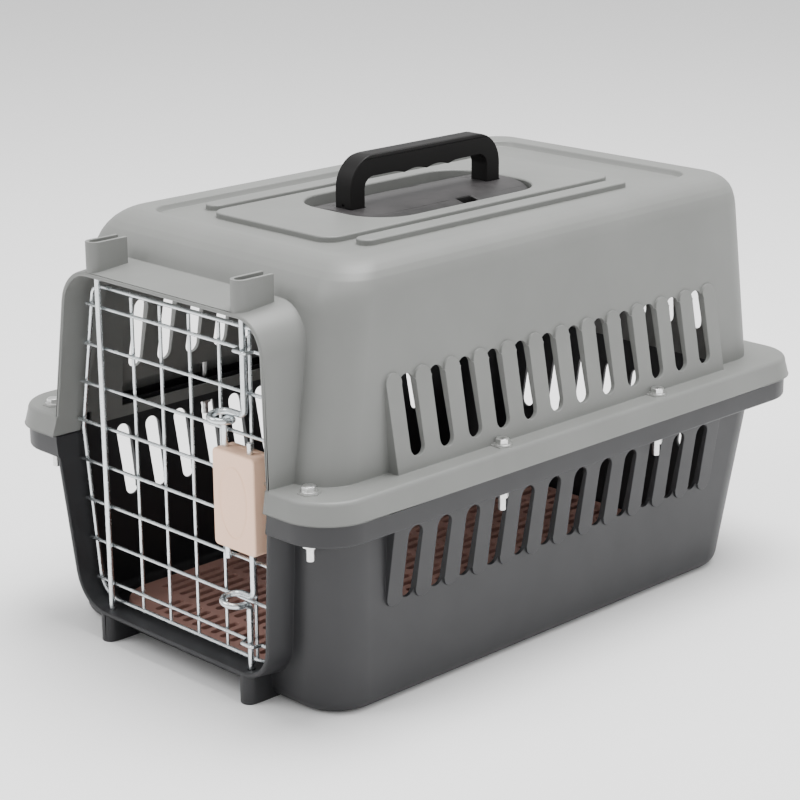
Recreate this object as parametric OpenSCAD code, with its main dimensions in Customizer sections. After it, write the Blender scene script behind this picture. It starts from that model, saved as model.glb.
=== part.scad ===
// Pet transport carrier: two moulded half shells bolted at a flange, a wire
// door with two spring latches, a folding handle and a slatted floor mat.
// Millimetres. +Z up, the door faces -Y, origin under the middle of the base.

/* [Flange and shells] */
// Width over the flange
flange_w = 320; // [310:1:330]
// Length over the flange
flange_l = 473; // [463:1:483]
// Height of the underside of the upper flange plate's skirt
split_z = 138; // [136:1:140]
// Height of the flat top of the carrier
top_z = 282; // [278:1:286]
// Wall thickness of both shells
wall = 2.8; // [2.4:0.1:3.2]

/* [Vents] */
// Number of vent slots in each side panel
side_slots = 12; // [8:1:12]
// Distance from one side slot to the next
slot_pitch = 25.55; // [24:0.05:25.6]
// Width of a vent slot
slot_w = 12; // [9:0.5:13]
// Number of vent slots in the rear wall of each shell
rear_slots = 7; // [3:2:7]

/* [Door] */
// Diameter of the hinge rod and the latch rods
rod_d = 4.2; // [4:0.1:4.4]
// Diameter of the cross wires and upright wires
wire_d = 2.5; // [2:0.1:2.5]
// Diameter of the wire round the door
frame_wire_d = 3; // [2.6:0.1:3]

/* [Handle] */
// Length of the handle
handle_l = 142.5; // [138:0.5:146]
// Height of the handle above its pivot
handle_h = 37; // [36:0.5:37.5]
// Width of the handle
handle_w = 15; // [14:0.5:15]

/* [Fasteners] */
// Diameter of the flange bolts
bolt_d = 5; // [4:1:5]

/* [Hidden] */
$fn = 48;
hull_fn = 32;           // facets on a round that is a child of a hull
eps = 0.01;             // thickness of the plates that a hull is stretched over
reach = 40;             // how far a cutting tool passes beyond the wall it cuts

// --- main levels and planes ---
door_y = -flange_l / 2 + 17;        // plane through the axes of the door's rods
flange_r = 35;
plate_t = 2.6;                      // thickness of both flange plates
upper_flange_z = split_z + 14;      // top of the upper flange plate
joint_gap = 0.5;                    // gap between the two flange skirts
lower_flange_z = split_z - 15;      // underside of the lower flange plate
lower_flange_inset = 3;             // the lower flange is this much narrower
lip_z = split_z - 10;               // lower edge of the upper shell's inner lip
lip_end = 36;                       // the lip stops this far behind the door, and before the rear corners

// --- walls: half width and end planes as functions of height ---
function upper_half(z) = 134.5 - 0.068 * (z - upper_flange_z);
function upper_front(z) = door_y + 6 + 0.21 * (z - upper_flange_z);
function upper_rear(z) = 211.5 - 0.066 * (z - upper_flange_z);
function lower_half(z) = 141 - 0.056 * (lower_flange_z - z);
function lower_front(z) = door_y + 6 + 0.05 * (lower_flange_z - z);
function lower_rear(z) = 211.5 - 0.2 * (lower_flange_z - z);
upper_plan_r = 26;
lower_plan_r = 30;
base_edge_r = 9;                    // rounding between the walls and the base

// --- doorway ---
door_half = 105;                    // half width at the split
door_top_half = 94;
door_base_half = 92;
door_top_z = 251;
sill_z = 21.5;
door_mid_r = 30;                    // corner radii of the doorway
door_top_r = 22;
door_base_r = 24;
collar_t = 3;
collar_front = door_y - 14;         // foremost edge of the collar, at the split
collar_rake = 3;                    // degrees that its face leans back
tab_x = 71;                         // the tabs, feet and rods stand at this X
tab_w = 12;
tab_wall = 2.6;
tab_l = 28;
tab_top_z = 274;
socket_slack = 0.5;                 // radial slack of a latch pin in its socket
hinge_slack = 0.08;                 // radial running clearance of the hinge rod
hinge_foot_z = 14;                  // the hinge rod stands on this level

// --- vents ---
panel_l = 319;
upper_panel_proud = 8.5;
upper_panel_top = 213;
upper_slot_low = 160;
upper_slot_top = 210.5;
lower_panel_proud = 7;
lower_panel_low = 66;
lower_slot_low = 69;
lower_slot_top = 118.5;
lower_vents_y = -8;                 // the lower row of vents is set forward
rear_pitch = 26;

// --- top of the upper shell ---
top_skin = 7;                       // from the inner ceiling to the flat top
recess_half = 94;
recess_y = [-160, 180];
recess_depth = 4;
panel_half = 58;
panel_y = [-136, 136];
rib_x = 73;
rib_w = 14;
rib_y = [-124, 128];
well_half = 46;
well_y = [-79, 83];
well_floor_z = top_z - 12;
well_r = 30;

// --- fasteners ---
bolt_head_af = 8;
bolt_head_h = 5.2;
bolt_end_z = 109;
nut_h = 5.5;
bolt_hole_r = bolt_d / 2 + 0.3;
boss_r = 4.5;                       // the bosses stand clear of the lower shell's walls
nut_room_r = 6;
front_bolt = [127, door_y + 1];
side_bolt_x = 147;
side_bolt_slots = [3, 9];           // the side bolts stand over these slots
rear_bolt = [75, 225];
hex_seat_r = 7.5;
function slot_y(i) = (i - (side_slots - 1) / 2) * slot_pitch;
BOLTS = [
    for (s = [-1, 1]) [s * front_bolt[0], front_bolt[1]],
    for (s = [-1, 1], i = side_bolt_slots) [s * side_bolt_x, slot_y(i) + lower_vents_y],
    for (s = [-1, 1]) [s * rear_bolt[0], rear_bolt[1]]
];

// --- floor mat ---
mat_half = 100;
mat_y = [door_y + 20, 179];
mat_top_z = 17;
mat_plate_t = 4;
mat_skirt_z = 6;                    // lower edge of the skirt, clear of the base's rounding
mat_r = 32;
mat_slot = [4, 22];
mat_rows = 13;
mat_cols = 19;
mat_pitch = [9.6, 28.5];

// --- handle ---
pivot_z = top_z - 3;
pivot_r = 1.75;
pivot_grip = 12;                    // length of a pin inside the pan
pivot_cover = 2;                    // the legs' bores stop this far from their outer faces
pivot_play = 0.08;
handle_mid_y = 2;
leg_l = 13;
grip_t = 14.5;
handle_outer_r = 22;
handle_inner_r = 8;
finger_waves = 4;
finger_pitch = 20.9;
finger_depth = 1.9;
fold_angle = 60;                    // the handle folds this far, towards -X only
leg_gap = 0.4;                      // round a leg in the pan
pan_gap = 1;
pan_crown_z = top_z;                // the pan is one broad dome across the well
pan_edge_z = top_z - 8.5;
pan_window_x = [25, 34];            // windows over the clips
pan_window_y = [12, 26];
pan_floor = 1.2;

// --- door wires ---
cross_count = 8;
rod_r = rod_d / 2;
wire_r = wire_d / 2;
frame_r = frame_wire_d / 2;
weld_gap = 0.03;                    // hairline left at a weld
cross_y = door_y + rod_r + wire_r + weld_gap;
upright_y = cross_y + wire_d + weld_gap;
frame_y = cross_y + wire_r + frame_r + weld_gap;
frame_top_z = 242;
frame_base_z = 25.5;
frame_top_half = 84;
frame_mid_half = 101.5;
frame_mid_z = 141;
frame_base_half = 88;
frame_corner_r = 9;
frame_base_r = 18;
cross_low_z = 38.5;
cross_pitch = 27.2;
cross_tip = 2.5;                    // a cross wire ends this far past the frame
last_tip = 0.7;                     // the lowest one, where the frame turns in
upright_x0 = -44;
upright_pitch = 28.6;
crimp_reach = 2 * (rod_r + wire_r + weld_gap);
hinge_top_z = 258;

// --- latch ---
housing_x = [46.5, 85.5];
housing_z = [101, 164.5];
housing_front = door_y - 6.5;
housing_rear = cross_y + wire_r + weld_gap;
housing_r = 3;
back_t = 4.8;
tail_x = 52;                        // tail of the upper rod
stem_x = 75.2;                      // stem of the lower rod
chamber_r = 3.7;
chamber_z = [122.2, 145.2];         // the two spring chambers, between the gripped wires
stop_r = 3.5;
stop_h = 3;
stop_gap = 0.25;
spring_r = 3.0;
spring_wire_r = 0.4;
spring_turns = 6;
rod_slack = 0.1;
loop_r = 7;                         // centreline radius of a finger loop
loop_drop = rod_d + 0.4;            // the wire drops by this over one loop
upper_loop_z = 188;
upper_loop_x = 57;
lower_loop_z = 70.5;
lower_loop_x = tab_x - loop_r;      // the loop ends above the lower pin
bend_r = 4.5;
pin_top_z = 258;
pin_low_z = 15;
tail_low_z = 91;
stem_top_z = 172;
screw_x = (housing_x[0] + housing_x[1]) / 2 - 2;
screw_z = [110, 156];
screw_r = 1.5;

// ------------------------------------------------------------------ helpers
function unit(v) = v / norm(v);
function arc_between(c, a, b, n) =
    let (phi = acos(unit(a - c) * unit(b - c)))
    [for (i = [0:n]) c + ((a - c) * sin((1 - i / n) * phi) + (b - c) * sin(i / n * phi)) / sin(phi)];
// Fillet of radius r at p1, between the lines to p0 and p2
function corner(p0, p1, p2, r, n) =
    let (u = unit(p0 - p1), v = unit(p2 - p1), h = acos(u * v) / 2, c = p1 + unit(u + v) * r / sin(h))
    arc_between(c, p1 + u * r / tan(h), p1 + v * r / tan(h), n);
// Closed outline: pts holds [point, radius] pairs
function rounded_outline(pts, n) = [
    for (i = [0:len(pts) - 1])
        let (a = pts[(i + len(pts) - 1) % len(pts)][0], b = pts[(i + 1) % len(pts)][0])
        each corner(a, pts[i][0], b, pts[i][1], n)
];
// Open path with every inner corner rounded
function rounded_path(pts, r, n) = [
    pts[0],
    for (i = [1:len(pts) - 2]) each corner(pts[i - 1], pts[i], pts[i + 1], r, n),
    pts[len(pts) - 1]
];

// Rectangle with round corners, centred on the origin
module rounded_rect(w, l, r) {
    square([w - 2 * r, l], center = true);
    square([w, l - 2 * r], center = true);
    for (x = [-1, 1], y = [-1, 1])
        translate([x * (w / 2 - r), y * (l / 2 - r)]) circle(r = r);
}

// Thin plate for a hull, from half width hx and its two ends in Y
module hull_plate(z, hx, y0, y1, r) {
    translate([0, (y0 + y1) / 2, z])
        linear_extrude(eps) rounded_rect(2 * hx, y1 - y0, r, $fn = hull_fn);
}

// Slab with a rounded rectangular outline
module slab(x, y, z, r) {
    translate([(x[0] + x[1]) / 2, (y[0] + y[1]) / 2, z[0]])
        linear_extrude(z[1] - z[0]) rounded_rect(x[1] - x[0], y[1] - y[0], r);
}

// Extrude an XZ outline along Y, from y0 to y1
module along_y(y0, y1) {
    translate([0, y1, 0]) rotate([90, 0, 0]) linear_extrude(y1 - y0) children();
}

// Extrude a YZ outline along X, from x0 to x1
module along_x(x0, x1) {
    translate([x0, 0, 0]) rotate([90, 0, 90]) linear_extrude(x1 - x0) children();
}

module slot_2d(w, low, top) {
    translate([-w / 2, low + w / 2]) square([w, top - low - w]);
    for (z = [low + w / 2, top - w / 2]) translate([0, z]) circle(d = w);
}

// Round wire swept along a path of 3-D points
module wire(path, r, sides = 12, closed = false) {
    n = len(path);
    tangents = [
        for (i = [0:n - 1])
            closed ? unit(path[(i + 1) % n] - path[(i + n - 1) % n])
                   : unit(path[min(i + 1, n - 1)] - path[max(i - 1, 0)])
    ];
    t0 = tangents[0];
    seed = abs(t0[1]) < 0.9 ? [0, 1, 0] : [0, 0, 1];
    normals = [
        for (i = 0, m = unit(seed - (seed * t0) * t0); i < n;
             i = i + 1, m = i < n ? unit(m - (m * tangents[i]) * tangents[i]) : m) m
    ];
    points = [
        for (i = [0:n - 1], k = [0:sides - 1])
            let (a = 360 * k / sides)
            path[i] + r * (cos(a) * normals[i] + sin(a) * cross(tangents[i], normals[i]))
    ];
    rings = closed ? n : n - 1;
    skin = [
        for (i = [0:rings - 1], k = [0:sides - 1])
            let (j = (i + 1) % n, l = (k + 1) % sides)
            [i * sides + k, i * sides + l, j * sides + l, j * sides + k]
    ];
    caps = closed ? [] : [
        [for (k = [sides - 1:-1:0]) k],
        [for (k = [0:sides - 1]) (n - 1) * sides + k]
    ];
    polyhedron(points, [for (f = concat(skin, caps)) [for (k = [len(f) - 1:-1:0]) f[k]]], convexity = 6);
}

// -------------------------------------------------------------- the doorway
DOORWAY = rounded_outline([
    [[door_half, split_z], door_mid_r],
    [[door_top_half, door_top_z], door_top_r],
    [[-door_top_half, door_top_z], door_top_r],
    [[-door_half, split_z], door_mid_r],
    [[-door_base_half, sill_z], door_base_r],
    [[door_base_half, sill_z], door_base_r]
], 6);
COLLAR = rounded_outline([
    [[door_half + collar_t, split_z], door_mid_r],
    [[door_top_half + collar_t, door_top_z + collar_t], door_top_r + collar_t],
    [[-door_top_half - collar_t, door_top_z + collar_t], door_top_r + collar_t],
    [[-door_half - collar_t, split_z], door_mid_r],
    [[-door_base_half - collar_t, sill_z - 5], door_base_r + collar_t],
    [[door_base_half + collar_t, sill_z - 5], door_base_r + collar_t]
], 6);

module collar_solid() {
    along_y(collar_front, door_y + 36) polygon(COLLAR);
}

// Straight through the collar, the front wall and both flanges
module doorway_cut() {
    along_y(-flange_l / 2 - 1, door_y + 60) polygon(DOORWAY);
}

// Everything in front of the collar's raked face, above or below the split
module collar_face_cut(side) {
    translate([0, collar_front, split_z])
        rotate([-side * collar_rake, 0, 0])
            translate([0, -reach / 2, side * 100]) cube([2 * door_half + 30, reach, 200], center = true);
}

// Hairpin tab or foot, seen from above: round nose at the front, open at the back
module hairpin() {
    difference() {
        union() {
            translate([0, tab_w / 2]) circle(d = tab_w);
            translate([-tab_w / 2, tab_w / 2]) square([tab_w, tab_l - tab_w / 2]);
        }
        translate([0, tab_w / 2]) circle(d = tab_w - 2 * tab_wall);
        translate([-tab_w / 2 + tab_wall, tab_w / 2]) square([tab_w - 2 * tab_wall, tab_l]);
    }
}

module hairpins(z0, z1) {
    for (s = [-1, 1])
        translate([s * tab_x, door_y - tab_w / 2 - 2, z0]) linear_extrude(z1 - z0) hairpin();
}

// Bores for the hinge rod at -X and the latch pin at +X
module rod_sockets(z0, z1) {
    translate([-tab_x, door_y, z0]) cylinder(r = rod_r + hinge_slack, h = z1 - z0);
    translate([tab_x, door_y, z0]) cylinder(r = rod_r + socket_slack, h = z1 - z0);
}

// -------------------------------------------------------------- half shells
module upper_body(t) {
    hull() {
        for (z = [lip_z, top_z - 26])
            hull_plate(z, upper_half(z) - t, upper_front(z) + t, upper_rear(z) - t, upper_plan_r - t);
        hull_plate(top_z - 11, upper_half(top_z) - 4 - t, upper_front(top_z) + 4 + t,
                   upper_rear(top_z) - 1 - t, upper_plan_r - t);
        hull_plate(top_z - 3, upper_half(top_z) - 11 - t, upper_front(top_z) + 13 + t,
                   upper_rear(top_z) - 4 - t, upper_plan_r - t);
        hull_plate(top_z - eps, upper_half(top_z) - 19 - t, upper_front(top_z) + 22 + t,
                   upper_rear(top_z) - 8 - t, upper_plan_r - t);
    }
}

module upper_void() {
    intersection() {
        upper_body(wall);
        translate([-200, -300, 0]) cube([400, 600, top_z - top_skin]);
    }
}

module lower_body(t) {
    hull() {
        hull_plate(t, lower_half(0) - base_edge_r, lower_front(0) + base_edge_r,
                   lower_rear(0) - base_edge_r, lower_plan_r - 8);
        hull_plate(0.3 * base_edge_r + t / 2, lower_half(0) - 2.6 - t, lower_front(0) + 2.6 + t,
                   lower_rear(0) - 2.6 - t, lower_plan_r - 3);
        hull_plate(base_edge_r, lower_half(base_edge_r) - t, lower_front(base_edge_r) + t,
                   lower_rear(base_edge_r) - t, lower_plan_r - t);
        hull_plate(split_z - joint_gap - eps, lower_half(split_z) - t, lower_front(split_z) + t,
                   lower_rear(split_z) - t, lower_plan_r - t);
    }
}

module flange_outline(inset) {
    rounded_rect(flange_w - 2 * inset, flange_l - 2 * inset, flange_r - inset);
}

module flange_skirt(z0, z1, inset) {
    translate([0, 0, z0]) linear_extrude(z1 - z0) difference() {
        flange_outline(inset);
        flange_outline(inset + wall);
    }
}

// Vent slots through both side walls
module side_slots_cut(low, top, y) {
    for (s = [-1, 1], i = [0:side_slots - 1])
        translate([s * 140, slot_y(i) + y, 0])
            along_x(-reach / 2, reach / 2) slot_2d(slot_w, low, top);
}

module rear_slots_cut(low, top) {
    for (i = [0:rear_slots - 1])
        translate([(i - (rear_slots - 1) / 2) * rear_pitch, 0, 0])
            along_y(180, 180 + reach) slot_2d(slot_w, low, top);
}

// Wedge that stands proud of the wall at the flange; t shrinks it for the hollow behind
module upper_panel(s, t) {
    along_y(-panel_l / 2 + t, panel_l / 2 - t) polygon([
        for (p = [[upper_half(split_z) - 8, split_z],
                  [upper_half(upper_flange_z) + upper_panel_proud - t, split_z],
                  [upper_half(upper_flange_z) + upper_panel_proud - t, upper_flange_z],
                  [upper_half(upper_panel_top) + 1.2 - t, upper_panel_top - t],
                  [upper_half(upper_panel_top) - 3, upper_panel_top - t]]) [s * p[0], p[1]]
    ]);
}

module lower_panel(s, t) {
    translate([0, lower_vents_y, 0])
        along_y(-panel_l / 2 + t, panel_l / 2 - t) polygon([
            for (p = [[lower_half(lower_flange_z) - 8, lower_flange_z + 1 - t],
                      [lower_half(lower_flange_z) + lower_panel_proud - t, lower_flange_z + 1 - t],
                      [lower_half(lower_panel_low) + 0.4 - t, lower_panel_low + t],
                      [lower_half(lower_panel_low) - 3, lower_panel_low + t]]) [s * p[0], p[1]]
        ]);
}

module bolt_tools(r, z0, z1) {
    for (p = BOLTS) translate([p[0], p[1], z0]) cylinder(r = r, h = z1 - z0);
}

module upper_shell() color([0.58, 0.59, 0.57]) {
    difference() {
        union() {
            upper_body(0);
            intersection() {
                collar_solid();
                translate([-200, -300, split_z]) cube([400, 600, 200]);
            }
            flange_skirt(split_z, upper_flange_z, 0);
            translate([0, 0, upper_flange_z - plate_t]) linear_extrude(plate_t) flange_outline(0);
            for (s = [-1, 1]) upper_panel(s, 0);
            bolt_tools(boss_r, lower_flange_z + plate_t, upper_flange_z - 1);
            hairpins(door_top_z + 1, tab_top_z);
            for (p = BOLTS)
                translate([p[0], p[1], upper_flange_z - 1]) cylinder(r = hex_seat_r, h = 1.8, $fn = 6);
        }
        upper_void();
        for (s = [-1, 1]) upper_panel(s, wall);
        doorway_cut();
        collar_face_cut(1);
        side_slots_cut(upper_slot_low, upper_slot_top, 0);
        rear_slots_cut(upper_slot_low, upper_slot_top);
        rod_sockets(door_top_z - 1, tab_top_z);
        bolt_tools(bolt_hole_r, lip_z - 10, upper_flange_z + 5);
        for (p = BOLTS)
            translate([p[0], p[1], upper_flange_z]) cylinder(r = hex_seat_r - 1, h = 5, $fn = 6);
        // shallow recess of the top, round the centre panel and the two ribs
        difference() {
            slab([-recess_half, recess_half], recess_y, [top_z - recess_depth, top_z + 1], 18);
            slab([-panel_half, panel_half], panel_y, [top_z - 10, top_z + 2], 12);
            for (s = [-1, 1])
                slab([s * rib_x - rib_w / 2, s * rib_x + rib_w / 2], rib_y, [top_z - 10, top_z + 2], 6);
        }
        slab([-well_half, well_half], well_y, [well_floor_z, top_z + 1], well_r);
        clip_slots();
        // below the split only the straight side walls go on, as a lip inside the lower shell
        translate([-200, -300, lip_z - 10]) cube([400, 300 + door_y + lip_end, split_z - lip_z + 10]);
        translate([-200, upper_rear(split_z) - upper_plan_r - 1, lip_z - 10])
            cube([400, 100, split_z - lip_z + 10]);
    }
    // floor and wall of the handle well, below the ceiling
    difference() {
        slab([-well_half - wall, well_half + wall], [well_y[0] - wall, well_y[1] + wall],
             [well_floor_z - wall, top_z - top_skin + 1], well_r + wall);
        slab([-well_half, well_half], well_y, [well_floor_z, top_z + 1], well_r);
        clip_slots();
    }
}

module lower_shell() color([0.24, 0.24, 0.25]) {
    difference() {
        union() {
            lower_body(0);
            intersection() {
                collar_solid();
                translate([-200, -300, 0]) cube([400, 600, split_z - joint_gap]);
            }
            flange_skirt(lower_flange_z, split_z - joint_gap, lower_flange_inset);
            translate([0, 0, lower_flange_z]) linear_extrude(plate_t) flange_outline(lower_flange_inset);
            for (s = [-1, 1]) lower_panel(s, 0);
            hairpins(0, sill_z - 2);
            for (s = [-1, 1])
                translate([s * tab_x, door_y, hinge_foot_z - 3]) cylinder(r = tab_w / 2 - 1, h = 6);
        }
        lower_body(wall);
        for (s = [-1, 1]) lower_panel(s, wall);
        doorway_cut();
        collar_face_cut(-1);
        side_slots_cut(lower_slot_low, lower_slot_top, lower_vents_y);
        rear_slots_cut(lower_slot_low, lower_slot_top);
        rod_sockets(hinge_foot_z, sill_z + 2);
        bolt_tools(bolt_hole_r, lower_flange_z - 1, lower_flange_z + 10);
        bolt_tools(nut_room_r, lower_flange_z - 14, lower_flange_z);
    }
}

// ------------------------------------------------------------------ the mat
module floor_mat() color([0.36, 0.24, 0.22]) {
    difference() {
        slab([-mat_half, mat_half], mat_y, [mat_skirt_z, mat_top_z], mat_r);
        slab([-mat_half + 3, mat_half - 3], [mat_y[0] + 3, mat_y[1] - 3],
             [mat_skirt_z - 1, mat_top_z - mat_plate_t], mat_r - 3);
        for (i = [0:mat_cols - 1], j = [0:mat_rows - 1])
            translate([(i - (mat_cols - 1) / 2) * mat_pitch[0] - mat_slot[0] / 2,
                       (mat_y[0] + mat_y[1]) / 2 + (j - (mat_rows - 1) / 2) * mat_pitch[1] - mat_slot[1] / 2,
                       mat_top_z - mat_plate_t - 1])
                if (!(abs(i - (mat_cols - 1) / 2) > 6 && abs(j - (mat_rows - 1) / 2) > 5))
                    cube([mat_slot[0], mat_slot[1], mat_plate_t + 2]);
    }
    // bearers that hold the plate off the base
    for (j = [-4:2:4])
        translate([-mat_half + 2, (mat_y[0] + mat_y[1]) / 2 + (j + 0.5) * mat_pitch[1] - 1.5, wall])
            cube([2 * mat_half - 4, 3, mat_top_z - mat_plate_t - wall + 1]);
}

// -------------------------------------------------------------- fasteners
module flange_bolts() color([0.72, 0.73, 0.75])
    for (p = BOLTS) translate([p[0], p[1], 0]) {
        translate([0, 0, upper_flange_z])
            cylinder(d = bolt_head_af / cos(30), h = bolt_head_h, $fn = 6);
        translate([0, 0, bolt_end_z]) cylinder(d = bolt_d, h = upper_flange_z - bolt_end_z + 1);
    }

module flange_nuts() color([0.72, 0.73, 0.75])
    for (p = BOLTS) translate([p[0], p[1], lower_flange_z - nut_h]) difference() {
        cylinder(d = bolt_head_af / cos(30), h = nut_h, $fn = 6);
        translate([0, 0, -1]) cylinder(d = bolt_d + 0.04, h = nut_h + 2);
    }

// ---------------------------------------------------------------- handle
leg_y = [handle_mid_y - handle_l / 2, handle_mid_y + handle_l / 2];
leg_inner_y = [leg_y[0] + leg_l, leg_y[1] - leg_l];
grip_low_z = pivot_z + handle_h - grip_t;

// Cylinder along Y at the handle's pivot height
module pivot_bar(r, y0, y1) {
    translate([0, y1, pivot_z]) rotate([90, 0, 0]) cylinder(r = r, h = y1 - y0);
}

// Four snap clips hold the pan in the floor of the well
module clips(grow, z0, z1) {
    for (x = [-1, 1], y = [-1, 1])
        translate([x * 38 - 3 - grow, y * 40 + handle_mid_y - 5 - grow, z0])
            cube([6 + 2 * grow, 10 + 2 * grow, z1 - z0]);
}

module clip_slots() {
    clips(0.3, well_floor_z - 6, well_floor_z + 1);
}

// What a leg's end passes through between upright and folded
module leg_pocket_2d() {
    r = handle_w / 2 + leg_gap;
    far = 30;
    flank = [-r * cos(fold_angle), -r * sin(fold_angle)];
    translate([0, pivot_z]) {
        circle(r = r);
        polygon([
            [0, 0], [r, 0], [r, far], [-far, far],
            flank + far * [-sin(fold_angle), cos(fold_angle)], flank
        ]);
    }
}

// The pan: a broad dome that fills the well, with a pocket for each leg and windows over two clips
module handle_base() color([0.20, 0.19, 0.20]) {
    pan_x = [-well_half + pan_gap, well_half - pan_gap];
    pan_y = [well_y[0] + pan_gap, well_y[1] - pan_gap];
    rise = pan_crown_z - pan_edge_z;
    dome_r = (pan_x[1] * pan_x[1] + rise * rise) / (2 * rise);
    difference() {
        union() {
            intersection() {
                slab(pan_x, pan_y, [well_floor_z, pan_crown_z + 1], well_r - pan_gap);
                translate([0, pan_y[1] + 1, pan_crown_z - dome_r]) rotate([90, 0, 0])
                    cylinder(r = dome_r, h = pan_y[1] - pan_y[0] + 2, $fn = 240);
            }
            clips(0, well_floor_z - wall - 2, well_floor_z + 1);
        }
        along_y(leg_y[0] - leg_gap, leg_inner_y[0] + leg_gap) leg_pocket_2d();
        along_y(leg_inner_y[1] - leg_gap, leg_y[1] + leg_gap) leg_pocket_2d();
        pivot_bar(pivot_r, leg_inner_y[0], leg_inner_y[0] + leg_gap + pivot_grip);
        pivot_bar(pivot_r, leg_inner_y[1] - leg_gap - pivot_grip, leg_inner_y[1]);
        for (s = [-1, 1])
            translate([s > 0 ? pan_window_x[0] : -pan_window_x[1], pan_window_y[0], well_floor_z + pan_floor])
                cube([pan_window_x[1] - pan_window_x[0], pan_window_y[1] - pan_window_y[0], 20]);
    }
}

module handle_pins() color([0.72, 0.73, 0.75]) {
    end = pivot_cover + 0.3;
    pivot_bar(pivot_r, leg_y[0] + end, leg_inner_y[0] + leg_gap + pivot_grip);
    pivot_bar(pivot_r, leg_inner_y[1] - leg_gap - pivot_grip, leg_y[1] - end);
}

module handle_outline() {
    base = pivot_z - handle_w / 2;
    top = pivot_z + handle_h;
    arch_r = (finger_pitch * finger_pitch / 4 + finger_depth * finger_depth) / (2 * finger_depth);
    span = (finger_waves - 1) * finger_pitch;
    difference() {
        polygon(rounded_outline([
            [[leg_y[0], base], 0.5], [[leg_y[0], top], handle_outer_r],
            [[leg_y[1], top], handle_outer_r], [[leg_y[1], base], 0.5]
        ], 8));
        difference() {
            polygon(rounded_outline([
                [[leg_inner_y[0], base - 1], 0.1], [[leg_inner_y[0], grip_low_z], handle_inner_r],
                [[leg_inner_y[1], grip_low_z], handle_inner_r], [[leg_inner_y[1], base - 1], 0.1]
            ], 6));
            // sharp ridges between the arches for the fingers
            difference() {
                translate([handle_mid_y - span / 2, grip_low_z - finger_depth])
                    square([span, finger_depth + 1]);
                for (i = [0:finger_waves - 1])
                    translate([handle_mid_y - span / 2 + i * finger_pitch, grip_low_z - arch_r])
                        circle(r = arch_r, $fn = 180);
            }
        }
    }
}

module handle() color([0.15, 0.14, 0.14])
    difference() {
        intersection() {
            along_x(-handle_w / 2, handle_w / 2) handle_outline();
            along_y(leg_y[0] - 1, leg_y[1] + 1) union() {
                translate([0, pivot_z]) circle(d = handle_w);
                translate([-handle_w / 2, pivot_z]) square([handle_w, handle_h - 2]);
                translate([-handle_w / 2 + 2, pivot_z]) square([handle_w - 4, handle_h]);
                for (s = [-1, 1])
                    translate([s * (handle_w / 2 - 2), pivot_z + handle_h - 2]) circle(r = 2, $fn = 24);
            }
        }
        pivot_bar(pivot_r + pivot_play, leg_y[0] + pivot_cover, leg_inner_y[0] + 1);
        pivot_bar(pivot_r + pivot_play, leg_inner_y[1] - 1, leg_y[1] - pivot_cover);
    }

// ------------------------------------------------------------------ door
FRAME_2D = rounded_outline([
    [[frame_mid_half, frame_mid_z], 12],
    [[frame_top_half, frame_top_z], frame_corner_r],
    [[-frame_top_half, frame_top_z], frame_corner_r],
    [[-frame_mid_half, frame_mid_z], 12],
    [[-frame_base_half, frame_base_z], frame_base_r],
    [[frame_base_half, frame_base_z], frame_base_r]
], 5);

module door_frame() color([0.78, 0.80, 0.82])
    wire([for (p = FRAME_2D) [p[0], frame_y, p[1]]], frame_r, 12, true);

module hinge_rod() color([0.78, 0.80, 0.82])
    translate([-tab_x, door_y, hinge_foot_z + weld_gap])
        cylinder(r = rod_r, h = hinge_top_z - hinge_foot_z - weld_gap);

function cross_z(k) = cross_low_z + (cross_count - k) * cross_pitch;
function frame_half(z) = z > frame_mid_z
    ? frame_mid_half + (frame_top_half - frame_mid_half) * (z - frame_mid_z) / (frame_top_z - frame_mid_z)
    : frame_mid_half + (frame_base_half - frame_mid_half) * (frame_mid_z - z) / (frame_mid_z - frame_base_z);

// Cross wire k, counted from the top; the first and last are crimped forward round the latch pins
module cross_wire(k) color([0.78, 0.80, 0.82]) {
    z = cross_z(k);
    tip = frame_half(z) + (k < cross_count ? cross_tip : last_tip);
    if (k > 1 && k < cross_count)
        translate([-tip, cross_y, z]) rotate([0, 90, 0]) cylinder(r = wire_r, h = 2 * tip);
    else
        wire([
            [-tip, cross_y, z],
            each rounded_path([
                [tab_x - 20, cross_y, z], [tab_x - 7, cross_y, z], [tab_x - 5, cross_y - crimp_reach, z],
                [tab_x + 5, cross_y - crimp_reach, z], [tab_x + 7, cross_y, z], [tab_x + 13, cross_y, z]
            ], 1.6, 4),
            [tip, cross_y, z]
        ], wire_r, 12);
}

module upright_wire(k) color([0.78, 0.80, 0.82])
    translate([upright_x0 + (k - 1) * upright_pitch, upright_y, frame_base_z + frame_r + weld_gap])
        cylinder(r = wire_r, h = frame_top_z - frame_base_z - 2 * (frame_r + weld_gap));

// ------------------------------------------------------------------ latch
module housing_block(y0, y1) {
    along_y(y0, y1) polygon(rounded_outline([
        [[housing_x[0], housing_z[0]], housing_r], [[housing_x[1], housing_z[0]], housing_r],
        [[housing_x[1], housing_z[1]], housing_r], [[housing_x[0], housing_z[1]], housing_r]
    ], 5));
}

// Space for a rod and, between the gripped wires, for its stop ring and spring
module rod_channel(x) {
    h = chamber_z[1] - chamber_z[0];
    translate([x, door_y, housing_z[0] - 1])
        cylinder(r = rod_r + rod_slack, h = housing_z[1] - housing_z[0] + 2);
    translate([x, door_y, chamber_z[0]]) cylinder(r = chamber_r, h = h);
    translate([x - chamber_r, door_y, chamber_z[0]])
        cube([2 * chamber_r, housing_rear - door_y + 1, h]);
}

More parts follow.
